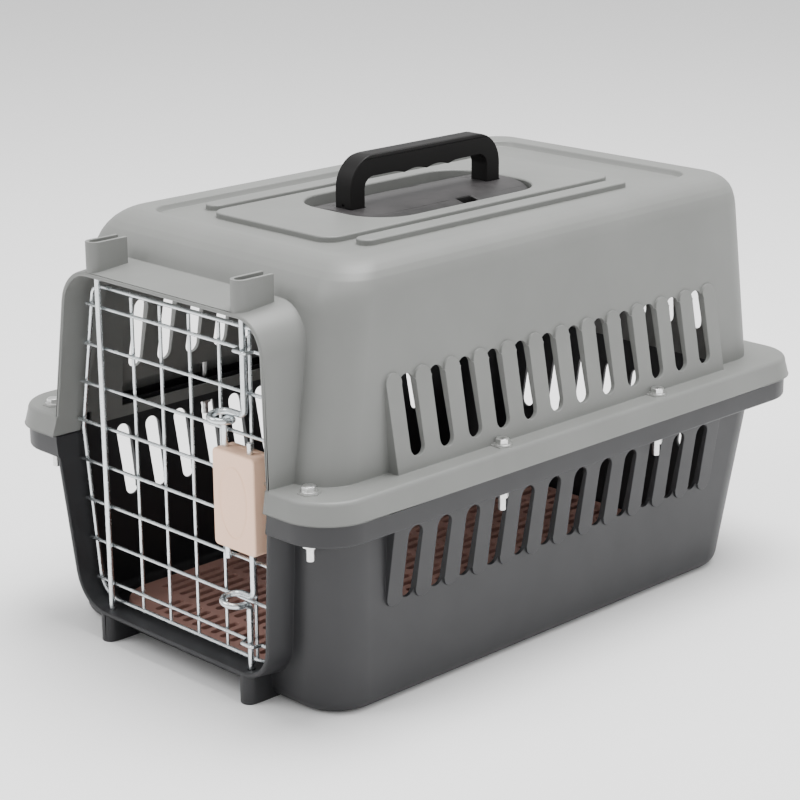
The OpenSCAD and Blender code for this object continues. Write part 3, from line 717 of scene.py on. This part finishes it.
def upper_panel(name, side):
    """Panel that leans out towards the flange, its ribs ending in raised round tongues."""
    outline = panel_outline(0, UPPER_FLANGE_Z - 1, PANEL_TOP)
    ends = sorted((side * 124, side * 150))
    tongues = prism(name, outline, "x", *ends)
    lean = [
        (side * 120, UPPER_FLANGE_Z - 3),
        (side * (upper_half(UPPER_FLANGE_Z) + UPPER_PROUD), UPPER_FLANGE_Z - 3),
        (side * (upper_half(UPPER_FLANGE_Z) + UPPER_PROUD), UPPER_FLANGE_Z),
        (side * (upper_half(PANEL_TOP) + RIB_LIFT), PANEL_TOP),
        (side * (upper_half(PANEL_TOP) + RIB_LIFT), PANEL_TOP + 4),
        (side * 120, PANEL_TOP + 4),
    ]
    return keep_inside(tongues, prism(name, lean, "y", -200, 200))


def upper_panel_hollow(name, side):
    t = WALL
    lean = [
        (side * (upper_half(UPPER_FLANGE_Z) - 8), SPLIT_Z - 2),
        (side * (upper_half(UPPER_FLANGE_Z) + UPPER_PROUD - t), SPLIT_Z - 2),
        (side * (upper_half(UPPER_FLANGE_Z) + UPPER_PROUD - t), UPPER_FLANGE_Z),
        (side * (upper_half(PANEL_TOP) - t - 0.2), PANEL_TOP - 6),
        (side * (upper_half(PANEL_TOP) - 8), PANEL_TOP - 6),
    ]
    return prism(name, lean, "y", -PANEL_L / 2 + t, PANEL_L / 2 - t)


RECESS_HALF, RECESS_Y, RECESS_DEPTH = 94.0, (-160.0, 180.0), 4.0
PANEL_HALF, PANEL_Y = 58.0, (-136.0, 136.0)
RIB_X, RIB_W, RIB_Y = 73.0, 14.0, (-124.0, 128.0)
WELL_HALF, WELL_Y, WELL_R = 46.0, (-79.0, 83.0), 30.0
WELL_FLOOR = TOP_Z - 12
HEX_SEAT_R = 7.5


def raised(name, x0, x1, y0, y1, low, high, r, edge=1.2):
    """Raised pad with a rounded upper edge."""
    rings = [rounded_rect(x0, x1, y0, y1, r), rounded_rect(x0, x1, y0, y1, r)]
    levels = [low, high - edge]
    for a in (30, 60, 90):
        inset = edge * (1 - math.cos(math.radians(a)))
        rings.append(rounded_rect(x0 + inset, x1 - inset, y0 + inset, y1 - inset, r - inset))
        levels.append(high - edge + edge * math.sin(math.radians(a)))
    return loft(name, [[(x, y, z) for x, y in ring] for ring, z in zip(rings, levels)])


def sunk(name, x0, x1, y0, y1, floor, top, r, edge=1.6, draft=1.5):
    """Cutter for a recess with a rounded rim and a drafted side."""
    rings, levels = [], []
    rings.append(rounded_rect(x0 + draft, x1 - draft, y0 + draft, y1 - draft, r - draft))
    levels.append(floor)
    rings.append(rounded_rect(x0, x1, y0, y1, r))
    levels.append(top - edge)
    for a in (30, 60, 90):
        out = edge * (1 - math.cos(math.radians(a)))
        rings.append(rounded_rect(x0 - out, x1 + out, y0 - out, y1 + out, r + out))
        levels.append(top - edge + edge * math.sin(math.radians(a)))
    rings.append(rings[-1])
    levels.append(top + 3)
    return loft(name, [[(x, y, z) for x, y in ring] for ring, z in zip(rings, levels)])


def make_upper_shell():
    name = "upper_shell_skin"
    shell = upper_body(name, LIP_Z, 0)
    collar = keep_inside(collar_ring(name, 50), half_space(name, SPLIT_Z, 300))
    add(shell, collar)
    add(shell, upper_flange(name))
    for side in (-1, 1):
        add(shell, jamb(name, side, COLLAR_FRONT - 0.8, SPLIT_Z, SPLIT_Z + 8))
    for side in (-1, 1):
        add(shell, upper_panel(name, side))
    for x, y in BOLTS:
        seat = arc_points((x, y), HEX_SEAT_R, 0, 300, 5)
        add(shell, prism(name, seat, "z", UPPER_FLANGE_Z - 1, UPPER_FLANGE_Z + 0.8))
    for side in (-1, 1):
        add(shell, hairpin(name, side, DOOR_TOP_Z + 1, UPPER_HIGH.z if UPPER_HIGH.z < TOP_Z else TOP_Z - 8))
    cut(shell, upper_body(name, LIP_Z - 5, WALL, TOP_Z - TOP_SKIN))
    for side in (-1, 1):
        cut(shell, upper_panel_hollow(name, side))
    cut(shell, doorway_tool(name))
    cut(shell, *side_slot_tools(name, *UPPER_SLOT_Z, 0))
    cut(shell, *rear_slot_tools(name, *UPPER_SLOT_Z))
    front_low = prism(name, plain_rect(-250, 250, -300, DOOR_Y + 36), "z", 100, SPLIT_Z)
    rear = upper_rear(SPLIT_Z) - UPPER_PLAN_R - 1
    rear_low = prism(name, plain_rect(-250, 250, rear, 300), "z", 100, SPLIT_Z)
    cut(shell, front_low, rear_low)
    cut(shell, sunk(name, -RECESS_HALF, RECESS_HALF, *RECESS_Y, TOP_Z - RECESS_DEPTH, TOP_Z, 18))
    add(shell, raised(name, -PANEL_HALF, PANEL_HALF, *PANEL_Y, TOP_Z - RECESS_DEPTH - 1, TOP_Z, 12))
    for side in (-1, 1):
        x = side * RIB_X
        add(shell, raised(name, x - RIB_W / 2, x + RIB_W / 2, *RIB_Y, TOP_Z - RECESS_DEPTH - 1, TOP_Z, 6.9))
    well_box = raised(name, -WELL_HALF - WALL, WELL_HALF + WALL, WELL_Y[0] - WALL, WELL_Y[1] + WALL,
                      WELL_FLOOR - WALL, TOP_Z - TOP_SKIN + 1, WELL_R + WALL)
    add(shell, well_box)
    cut(shell, sunk(name, -WELL_HALF, WELL_HALF, *WELL_Y, WELL_FLOOR, TOP_Z, WELL_R, draft=0.0))
    cut(shell, *rod_tools(name, DOOR_TOP_Z - 2, 272))
    clean(shell, seams=[slot_mid(i) for i in range(SLOT_COUNT)])
    soften(shell, 0.45, every=True)
    return finish_piece(shell, GREY, "carrier", "shell_grey", "upper_shell")


make_upper_shell()


# ------------------------------------------------------------ lower shell
BASE_R = 9.0
LOWER_PLAN_R = 30.0
LOWER_TOP = LOWER_HIGH.z
LOWER_SHIFT = -8.0
LOWER_PROUD = 7.0
LOWER_PANEL_LOW = 66.0
FOOT_TOP = 14.0


def lower_ring(z, t, inset):
    hx = lower_half(z) - inset - t
    y0, y1 = lower_front(z) + inset + t, lower_rear(z) - inset - t
    r = LOWER_PLAN_R - t - 0.9 * inset
    return [(x, y, z) for x, y in rounded_rect(-hx, hx, y0, y1, r, 10)]


def lower_body(name, t, top):
    """Tub with a base rounded by BASE_R; t shrinks it for the space inside."""
    r = BASE_R - t
    rings = []
    for a in range(0, 91, 15):
        inset = r * (1 - math.sin(math.radians(a)))
        rings.append(lower_ring(t + r * (1 - math.cos(math.radians(a))), t, inset))
    rings.append(lower_ring(top, t, 0))
    return loft(name, rings)


def lower_flange(name):
    profile = [
        (4.6, LOWER_FLANGE_Z), (3.5, LOWER_FLANGE_Z + 0.5), (3.0, LOWER_FLANGE_Z + 1.7),
        (3.0, LOWER_TOP - 0.5), (3.5, LOWER_TOP),
    ]
    tray = loft(name, [flange_ring(i, z) for i, z in profile])
    hollow = loft(name, [flange_ring(3 + WALL, z) for z in (LOWER_FLANGE_Z + PLATE_T, LOWER_TOP + 1)])
    return cut(tray, hollow)


def lower_panel(name, side):
    outline = panel_outline(LOWER_SHIFT, LOWER_FLANGE_Z + 1, LOWER_PANEL_LOW)
    ends = sorted((side * 126, side * 152))
    tongues = prism(name, outline, "x", *ends)
    lean = [
        (side * 124, LOWER_FLANGE_Z + 3),
        (side * (lower_half(LOWER_FLANGE_Z) + LOWER_PROUD), LOWER_FLANGE_Z + 3),
        (side * (lower_half(LOWER_FLANGE_Z) + LOWER_PROUD), LOWER_FLANGE_Z),
        (side * (lower_half(LOWER_PANEL_LOW) + RIB_LIFT), LOWER_PANEL_LOW),
        (side * (lower_half(LOWER_PANEL_LOW) + RIB_LIFT), LOWER_PANEL_LOW - 4),
        (side * 124, LOWER_PANEL_LOW - 4),
    ]
    return keep_inside(tongues, prism(name, lean, "y", -200, 200))


def lower_panel_hollow(name, side):
    t = WALL
    lean = [
        (side * (lower_half(LOWER_FLANGE_Z) - 8), LOWER_FLANGE_Z + 1 - t),
        (side * (lower_half(LOWER_FLANGE_Z) + LOWER_PROUD - t), LOWER_FLANGE_Z + 1 - t),
        (side * (lower_half(LOWER_PANEL_LOW) - t - 0.2), LOWER_PANEL_LOW + 6),
        (side * (lower_half(LOWER_PANEL_LOW) - 8), LOWER_PANEL_LOW + 6),
    ]
    return prism(name, lean, "y", -PANEL_L / 2 + t + LOWER_SHIFT, PANEL_L / 2 - t + LOWER_SHIFT)


def make_lower_shell():
    name = "lower_shell_skin"
    shell = lower_body(name, 0, LOWER_TOP)
    add(shell, keep_inside(collar_ring(name, 50), half_space(name, 0, LOWER_TOP)))
    add(shell, lower_flange(name))
    for side in (-1, 1):
        add(shell, jamb(name, side, -FLANGE_END + 3, LOWER_FLANGE_Z + 1, LOWER_TOP))
        add(shell, lower_panel(name, side))
        add(shell, hairpin(name, side, 0, SILL_Z - 2))
        add(shell, lathe(name, [(TAB_W / 2 - 1, FOOT_TOP - 3), (TAB_W / 2 - 1, FOOT_TOP + 3)],
                         (side * TAB_X, DOOR_Y, 0)))
    cut(shell, lower_body(name, WALL, LOWER_TOP + 2))
    for side in (-1, 1):
        cut(shell, lower_panel_hollow(name, side))
    cut(shell, doorway_tool(name))
    cut(shell, *side_slot_tools(name, *LOWER_SLOT_Z, LOWER_SHIFT))
    cut(shell, *rear_slot_tools(name, *LOWER_SLOT_Z))
    cut(shell, *rod_tools(name, FOOT_TOP, SILL_Z + 2))
    cut(shell, *[
        lathe(name, [(6, LOWER_FLANGE_Z - 14), (6, LOWER_FLANGE_Z)], (x, y, 0)) for x, y in BOLTS
    ])
    cut(shell, *[
        lathe(name, [(2.8, LOWER_FLANGE_Z - 1), (2.8, LOWER_FLANGE_Z + 10)], (x, y, 0)) for x, y in BOLTS
    ])
    clean(shell)
    soften(shell, 0.5)
    return finish_piece(shell, CHARCOAL, "carrier", "shell_charcoal", "lower_shell")


# ------------------------------------------------------------ floor mat
MAT_PITCH_X, MAT_PITCH_Y = 9.6, 28.5
MAT_SLOT_HALF_W, MAT_SLOT_HALF_L, MAT_SLOT_R = 2.3, 11.5, 2.1


def make_mat():
    name = "floor_mat_skin"
    low, high = box_mm("floor_mat")
    mid = (low.y + high.y) / 2
    mat = raised(name, low.x, high.x, low.y, high.y, 6, high.z, 32, edge=1.6)
    cut(mat, raised(name, low.x + 3, high.x - 3, low.y + 3, high.y - 3, 0, high.z - 4, 29, edge=0.5))
    tools = []
    for i in range(-9, 10):
        for j in range(-6, 7):
            if abs(i) > 6 and abs(j) > 5:
                continue
            x, y = i * MAT_PITCH_X, mid + j * MAT_PITCH_Y
            slot = rounded_rect(x - MAT_SLOT_HALF_W, x + MAT_SLOT_HALF_W, y - MAT_SLOT_HALF_L,
                                y + MAT_SLOT_HALF_L, MAT_SLOT_R, 4)
            tools.append(prism(name, slot, "z", high.z - 6, high.z + 2))
    cut(mat, *tools)
    clean(mat)
    soften(mat, 0.6, 2)
    bearers = []
    for j in (-4, -2, 0, 2, 4):
        y = mid + (j + 0.5) * MAT_PITCH_Y
        outline = plain_rect(low.x + 2, high.x - 2, y - 1.5, y + 1.5)
        bearers.append(prism(name, outline, "z", low.z, high.z - 4.2))
    join([mat] + bearers)
    return finish_piece(mat, BROWN, "carrier", "mat_brown", "floor_mat")


# ------------------------------------------------------------ bolts and nuts
ACROSS_FLATS = 8
SHANK_R = 2.5


def hexagon(x, y, across_flats, turn=0):
    r = across_flats / 2 / math.cos(math.radians(30))
    return [(x + r * math.cos(math.radians(60 * k + turn)), y + r * math.sin(math.radians(60 * k + turn)))
            for k in range(6)]


def make_bolts():
    parts = []
    low, high = box_mm("flange_bolts")
    top, seat = high.z, UPPER_FLANGE_Z
    for x, y in BOLTS:
        head = prism("bolt", hexagon(x, y, ACROSS_FLATS), "z", seat, top)
        crown = lathe("bolt", [(5.2, seat - 1), (4.9, top - 1.4), (4.2, top - 0.5),
                               (2.6, top - 0.05), (0.3, top)], (x, y, 0))
        head = soften(clean(keep_inside(head, crown)), 0.2)
        washer = lathe("bolt", [(5.6, seat + 0.8), (5.6, seat + 1.6), (5.1, seat + 1.8), (3.0, seat + 1.8)],
                       (x, y, 0))
        parts.append(smooth(washer))
        shank = lathe("bolt", [(SHANK_R, low.z), (SHANK_R, seat + 0.5)], (x, y, 0), sides=24)
        shank = soften(shank, 0.3)
        parts += [head, shank]
    return finish_piece(join(parts), HARDWARE, "carrier", "zinc_hardware", "flange_bolts")


def make_nuts():
    parts = []
    base = box_mm("flange_nuts")[0].z
    for x, y in BOLTS:
        nut = prism("nut", hexagon(x, y, ACROSS_FLATS), "z", base, LOWER_FLANGE_Z - 0.02)
        cut(nut, lathe("nut", [(2.52, LOWER_FLANGE_Z - 9), (2.52, LOWER_FLANGE_Z + 2)], (x, y, 0)))
        parts.append(soften(clean(nut), 0.35))
    return finish_piece(join(parts), HARDWARE, "carrier", "zinc_hardware", "flange_nuts")


# ------------------------------------------------------------ handle and its pan
LEG_Z = 270
FINGERS = 4
PAN_RISE = 8.5
PAN_WINDOW_X, PAN_WINDOW_Y = (25, 34), (12, 26)
PIVOT_Z = TOP_Z - 3
LEG_L = 13.0
GRIP_T = 14.5
FINGER_PITCH, FINGER_DEPTH = 20.9, 1.9
FOLD = math.radians(60)
HANDLE_HALF = (HANDLE_HIGH.x - HANDLE_LOW.x) / 2
HANDLE_MID = (HANDLE_LOW.y + HANDLE_HIGH.y) / 2


def grip_opening():
    """Side outline of the hand's opening: round corners and arches with sharp ridges between them."""
    top = HANDLE_HIGH.z - GRIP_T
    y0, y1 = HANDLE_LOW.y + LEG_L, HANDLE_HIGH.y - LEG_L
    arch_r = (FINGER_PITCH ** 2 / 4 + FINGER_DEPTH ** 2) / (2 * FINGER_DEPTH)
    points = [(y0, HANDLE_LOW.z - 2)]
    points += flat_arc((y0, LEG_Z), (y0, top), (y1, top), 8, 8)
    for i in range(FINGERS):
        centre = HANDLE_MID + (i - 1.5) * FINGER_PITCH
        for k in range(-5, 6):
            y = centre + k * FINGER_PITCH / 10
            if (i == 0 and k < 0) or (i == FINGERS - 1 and k > 0) or (i < FINGERS - 1 and k == 5):
                continue
            points.append((y, top - arch_r + math.sqrt(arch_r ** 2 - (y - centre) ** 2)))
    points += flat_arc((y0, top), (y1, top), (y1, LEG_Z), 8, 8)
    points.append((y1, HANDLE_LOW.z - 2))
    return points


def make_handle():
    name = "handle_skin"
    top, h = HANDLE_HIGH.z, HANDLE_HALF
    profile = arc_points((0, PIVOT_Z), h, 180, 360, 20)
    profile += flat_arc((h, PIVOT_Z), (h, top), (-h, top), 2.4, 6)
    profile += flat_arc((h, top), (-h, top), (-h, PIVOT_Z), 2.4, 6)
    handle = prism(name, profile, "y", HANDLE_LOW.y - 2, HANDLE_HIGH.y + 2)
    y0, y1 = HANDLE_LOW.y, HANDLE_HIGH.y
    side = [(y0, HANDLE_LOW.z - 2)]
    side += flat_arc((y0, LEG_Z), (y0, top), (y1, top), 22, 14)
    side += flat_arc((y0, top), (y1, top), (y1, LEG_Z), 22, 14)
    side.append((y1, HANDLE_LOW.z - 2))
    keep_inside(handle, prism(name, side, "x", -20, 20))
    cut(handle, prism(name, grip_opening(), "x", -20, 20))
    cut(handle, lathe(name, [(1.1, y0 - 1), (1.1, y0 + 1.0)], (0, 0, PIVOT_Z + 4), axis="y", sides=20))
    clean(handle)
    soften(handle, 0.7, 3, angle=28)
    return finish_piece(handle, BLACK, "handle", "handle_black", "handle")


def leg_pocket(name, y0, y1):
    r, far = HANDLE_HALF + 0.4, 30
    flank = (-r * math.cos(FOLD), -r * math.sin(FOLD))
    edge = (flank[0] - far * math.sin(FOLD), flank[1] + far * math.cos(FOLD))
    outline = arc_points((0, 0), r, 180 + math.degrees(FOLD), 360, 16) + [(r, far), (-far, far), edge]
    return prism(name, [(x, z + PIVOT_Z) for x, z in outline], "y", y0, y1)


def make_pan():
    name = "handle_pan_skin"
    low, high = WELL_PAN_LOW, WELL_PAN_HIGH
    half = high.x
    r = (half ** 2 + PAN_RISE ** 2) / (2 * PAN_RISE)
    across = [half * (k / 20) for k in range(21, -22, -1)]
    dome = [(x, TOP_Z - r + math.sqrt(r ** 2 - x ** 2)) for x in across if abs(x) <= half + 3]
    dome += [(-half - 4, 265), (half + 4, 265)]
    pan = prism(name, rounded_rect(low.x, high.x, low.y, high.y, 29, 12), "z", WELL_FLOOR, TOP_Z + 1)
    keep_inside(pan, prism(name, dome, "y", low.y - 2, high.y + 2))
    ends = (
        (HANDLE_LOW.y - 0.4, HANDLE_LOW.y + LEG_L + 0.4),
        (HANDLE_HIGH.y - LEG_L - 0.4, HANDLE_HIGH.y + 0.4),
    )
    for y0, y1 in ends:
        cut(pan, leg_pocket(name, y0, y1))
    for side in (-1, 1):
        x0, x1 = sorted(side * x for x in PAN_WINDOW_X)
        window = rounded_rect(x0, x1, *PAN_WINDOW_Y, 1.0, 4)
        cut(pan, prism(name, window, "z", WELL_FLOOR + 1.2, TOP_Z + 4))
    clean(pan)
    soften(pan, 0.8, 3, angle=24)
    clips = []
    for sx in (-1, 1):
        for sy in (-1, 1):
            x, y = sx * 38, sy * 40 + HANDLE_MID
            clips.append(prism(name, plain_rect(x - 3, x + 3, y - 5, y + 5),
                               "z", WELL_FLOOR - WALL - 2, WELL_FLOOR + 0.5))
    join([pan] + clips)
    return finish_piece(pan, PAN_BLACK, "carrier", "handle_pan_black", "handle_base")


# ------------------------------------------------------------ door
WIRE_R = (box_mm("upright_wire_1")[1].x - box_mm("upright_wire_1")[0].x) / 2
FRAME_R = (box_mm("door_frame")[1].y - box_mm("door_frame")[0].y) / 2
CROSS_Y = middle("cross_wire_4").y
FRAME_Y = middle("door_frame").y
CRIMP = 2 * (ROD_R + WIRE_R + 0.03)


def make_door():
    low, high = box_mm("door_frame")
    top, base = high.z - FRAME_R, low.z + FRAME_R
    outline = round_outline([
        (101.5, 141, 12), (84, top, 9), (-84, top, 9), (-101.5, 141, 12), (-88, base, 18), (88, base, 18)
    ], 8)
    frame_wire = tube("door_frame_wire", [(x, FRAME_Y, z) for x, z in outline], FRAME_R, closed=True)
    finish_piece(frame_wire, WIRE, "door", "zinc_wire", "door_frame")
    for k in range(1, 9):
        node = f"cross_wire_{k}"
        a, b = box_mm(node)
        z = middle(node).z
        path = [(a.x, CROSS_Y, z), (b.x, CROSS_Y, z)]
        if k in (1, 8):
            path = rounded_path([
                path[0], (TAB_X - 7, CROSS_Y, z), (TAB_X - 5, CROSS_Y - CRIMP, z),
                (TAB_X + 5, CROSS_Y - CRIMP, z), (TAB_X + 7, CROSS_Y, z), path[1]], 1.6)
        wire = tube(f"{node}_round", path, WIRE_R, tip=0.5)
        finish_piece(wire, WIRE, "door", "zinc_wire", node)
    for k in range(1, 6):
        node = f"upright_wire_{k}"
        a, b = box_mm(node)
        m = middle(node)
        wire = tube(f"{node}_round", [(m.x, m.y, a.z), (m.x, m.y, b.z)], WIRE_R, tip=0.5)
        finish_piece(wire, WIRE, "door", "zinc_wire", node)
    a, b = box_mm("hinge_rod")
    rod = tube("hinge_rod_round", [(-TAB_X, DOOR_Y, a.z), (-TAB_X, DOOR_Y, b.z)], ROD_R, 28, tip=0.4)
    finish_piece(rod, WIRE, "door", "zinc_wire", "hinge_rod")


# ------------------------------------------------------------ latch
TAIL_X, STEM_X = 52.0, 75.2
CHAMBER_Z = (122.2, 145.2)
CHAMBER_HALF = 3.7
WIRE_ROOM = 1.35
OVAL_HALF = (12.5, 23)
SCREW_X, SCREW_Z = 64.0, (110.0, 156.0)


def block(name, low, high):
    outline = rounded_rect(low.x, high.x, low.z, high.z, 3.2, 8)
    return prism(name, outline, "y", low.y, high.y)


def make_housing():
    name = "latch_housing_skin"
    low, high = box_mm("latch_housing")
    housing = block(name, low, high)
    clean(housing)
    soften(housing, 1.3, 4, angle=60)
    # a faint broad oval, drawn by a shallow groove
    mid_x, mid_z = (low.x + high.x) / 2, (low.z + high.z) / 2
    groove = []
    half_x, half_z = OVAL_HALF
    section = (
        (1.1, low.y - 1), (1.1, low.y + 0.02), (0.35, low.y + 0.4),
        (-0.35, low.y + 0.4), (-1.1, low.y + 0.02), (-1.1, low.y - 1),
    )
    for grow, y in section:
        groove.append([(mid_x + (half_x + grow) * math.cos(a), y, mid_z + (half_z + grow) * math.sin(a))
                       for a in [math.pi * k / 32 for k in range(64)]])
    cut(housing, loft(name, groove, closed=True))
    for x in (TAIL_X, STEM_X):
        cut(housing, lathe(name, [(ROD_R + 0.1, low.z - 1), (ROD_R + 0.1, high.z + 1)], (x, DOOR_Y, 0)))
        chamber = plain_rect(x - CHAMBER_HALF, x + CHAMBER_HALF, *CHAMBER_Z)
        cut(housing, prism(name, chamber, "y", DOOR_Y - CHAMBER_HALF, high.y + 1))
    for node in ("cross_wire_4", "cross_wire_5"):
        z, r = middle(node).z, WIRE_R + 0.1
        room = plain_rect(low.x - 1, high.x + 1, z - r, z + r)
        cut(housing, prism(name, room, "y", CROSS_Y - r, high.y + 2))
    smooth(housing, 35)
    finish_piece(housing, BEIGE, "door", "latch_beige", "latch_housing")


def make_back():
    name = "latch_back_skin"
    low, high = box_mm("latch_back")
    back = block(name, low, high)
    clean(back)
    soften(back, 1.1, 3, angle=60)
    m = middle("upright_wire_5")
    room = plain_rect(m.x - WIRE_ROOM, m.x + WIRE_ROOM, low.y - 1, m.y + WIRE_ROOM)
    cut(back, prism(name, room, "z", low.z - 1, high.z + 1))
    for z in SCREW_Z:
        cut(back, lathe(name, [(1.7, low.y - 1), (1.7, high.y + 1)], (SCREW_X, 0, z), axis="y", sides=24))
        cut(back, lathe(name, [(3.1, high.y - 2.0), (3.1, high.y + 1)], (SCREW_X, 0, z), axis="y"))
    smooth(back, 35)
    finish_piece(back, BEIGE, "door", "latch_beige", "latch_back")


def make_screws():
    low, high = box_mm("latch_screws")
    parts = []
    for z in SCREW_Z:
        profile = [
            (1.5, low.y + 0.3), (1.5, high.y - 1.7), (2.8, high.y - 1.6),
            (2.8, high.y - 0.7), (2.2, high.y - 0.2), (0.9, high.y - 0.02),
        ]
        head = lathe("screw", profile, (SCREW_X, 0, z), axis="y", sides=28)
        for u, v in ((1.9, 0.32), (0.32, 1.9)):
            slot = plain_rect(SCREW_X - u, SCREW_X + u, z - v, z + v)
            cut(head, prism("screw", slot, "y", high.y - 1.1, high.y + 1))
        parts.append(smooth(head))
    finish_piece(join(parts), HARDWARE, "door", "zinc_hardware", "latch_screws")


LOOP_R, BEND_R = 7.0, 4.5
LOOP_DROP = 2 * ROD_R + 0.4
UPPER_LOOP_X, UPPER_LOOP_Z = 57.0, 188.0
LOWER_LOOP_Z = 70.5


def latch_rod(name, xa, za, xb, zb, loop_x, loop_z, turn):
    """Rod bent to a vertical run, a flat finger loop and a second vertical run."""
    low = loop_z - LOOP_DROP
    count = round(turn / 10)
    loop = []
    for i in range(count + 1):
        a = math.radians(90 + turn * i / count)
        loop.append(Vector((loop_x + LOOP_R * math.cos(a), DOOR_Y - LOOP_R + LOOP_R * math.sin(a),
                            loop_z - LOOP_DROP * i / count)))
    last = loop[-1]
    back = Vector((xb if turn == 360 else last.x, DOOR_Y, low))
    out_r = min(BEND_R, abs(loop_x - xb) - 0.5) if turn == 360 else BEND_R
    path = [Vector((xa, DOOR_Y, za)), Vector((xa, DOOR_Y, loop_z + BEND_R + 8))]
    path += corner_arc((xa, DOOR_Y, loop_z + 10), (xa, DOOR_Y, loop_z), (loop_x, DOOR_Y, loop_z), BEND_R, 10)
    path += loop
    path += corner_arc(last, back, back - Vector((0, 0, 10)), out_r, 10)
    path += [Vector((xb, DOOR_Y, low - BEND_R - 8)), Vector((xb, DOOR_Y, zb))]
    return tube(name, path, ROD_R, 24, tip=0.4)


def make_latch_rods():
    upper_low, upper_high = box_mm("upper_latch_rod")
    lower_low, lower_high = box_mm("lower_latch_rod")
    rod = latch_rod("upper_latch_rod_bent", TAB_X, upper_high.z, TAIL_X, upper_low.z,
                    UPPER_LOOP_X, UPPER_LOOP_Z, 360)
    finish_piece(rod, WIRE, "upper_latch", "zinc_wire", "upper_latch_rod")
    rod = latch_rod("lower_latch_rod_bent", STEM_X, lower_high.z, TAB_X, lower_low.z,
                    TAB_X - LOOP_R, LOWER_LOOP_Z, 270)
    finish_piece(rod, WIRE, "lower_latch", "zinc_wire", "lower_latch_rod")


def make_rings_and_springs():
    for which, x in (("upper", TAIL_X), ("lower", STEM_X)):
        a, b = box_mm(f"{which}_stop_ring")
        ring = lathe(f"{which}_stop_ring_turned", [(3.5, a.z), (3.5, b.z)], (x, DOOR_Y, 0))
        cut(ring, lathe("bore", [(ROD_R + 0.01, a.z - 1), (ROD_R + 0.01, b.z + 1)], (x, DOOR_Y, 0)))
        soften(ring, 0.3)
        finish_piece(ring, SPRING, f"{which}_latch", "spring_steel", f"{which}_stop_ring")


make_lower_shell()
make_mat()
make_bolts()
make_nuts()
make_handle()
make_pan()
make_door()
make_housing()
make_back()
make_screws()
make_latch_rods()
make_rings_and_springs()
dress_node("handle_pins", HARDWARE)
dress_node("upper_spring", SPRING)
dress_node("lower_spring", SPRING)


# ------------------------------------------------------------ stage, light and camera
def white_floor():
    bpy.ops.mesh.primitive_plane_add(size=14)
    floor = bpy.context.object
    floor.name = "floor"
    mat, _, shader = blank("floor_white")
    shader.inputs["Base Color"].default_value = (0.97, 0.97, 0.97, 1)
    shader.inputs["Roughness"].default_value = 0.75
    floor.data.materials.append(mat)


def area_light(name, place, aim, size, power):
    data = bpy.data.lights.new(name, "AREA")
    data.shape = "DISK"
    data.size = size
    data.energy = power
    light = bpy.data.objects.new(name, data)
    light.location = place
    light.rotation_euler = (Vector(aim) - Vector(place)).to_track_quat("-Z", "Y").to_euler()
    bpy.context.scene.collection.objects.link(light)


def studio():
    world = bpy.data.worlds.new("studio")
    bpy.context.scene.world = world
    world.use_nodes = True
    background = world.node_tree.nodes["Background"]
    background.inputs["Color"].default_value = (1, 1, 1, 1)
    background.inputs["Strength"].default_value = 0.95
    area_light("key", (-0.9, -1.6, 1.9), (0, 0, 0.1), 1.2, 20)
    area_light("side", (1.9, 0.4, 1.1), (0, 0, 0.15), 1.4, 5)
    area_light("top", (0.1, 0.3, 2.2), (0, 0, 0.1), 1.6, 85)


CAMERA_PLACE = (1.0751, -1.0705, 0.6023)
AZIMUTH, ELEVATION, ROLL = 45.61, 17.14, -0.4
SENSOR_MM, LENS_MM = 36, 102.25


def photo_camera():
    azimuth, elevation, roll = math.radians(AZIMUTH), math.radians(ELEVATION), math.radians(ROLL)
    back = Vector((
        math.sin(azimuth) * math.cos(elevation),
        -math.cos(azimuth) * math.cos(elevation),
        math.sin(elevation),
    ))
    right = Vector((math.cos(azimuth), math.sin(azimuth), 0))
    up = back.cross(right)
    r = right * math.cos(roll) + up * math.sin(roll)
    u = up * math.cos(roll) - right * math.sin(roll)
    data = bpy.data.cameras.new("camera")
    data.sensor_width = SENSOR_MM
    data.lens = LENS_MM
    camera = bpy.data.objects.new("camera", data)
    camera.matrix_world = Matrix((
        (r.x, u.x, back.x, CAMERA_PLACE[0]),
        (r.y, u.y, back.y, CAMERA_PLACE[1]),
        (r.z, u.z, back.z, CAMERA_PLACE[2]),
        (0, 0, 0, 1),
    ))
    bpy.context.scene.collection.objects.link(camera)
    bpy.context.scene.camera = camera


white_floor()
studio()
photo_camera()
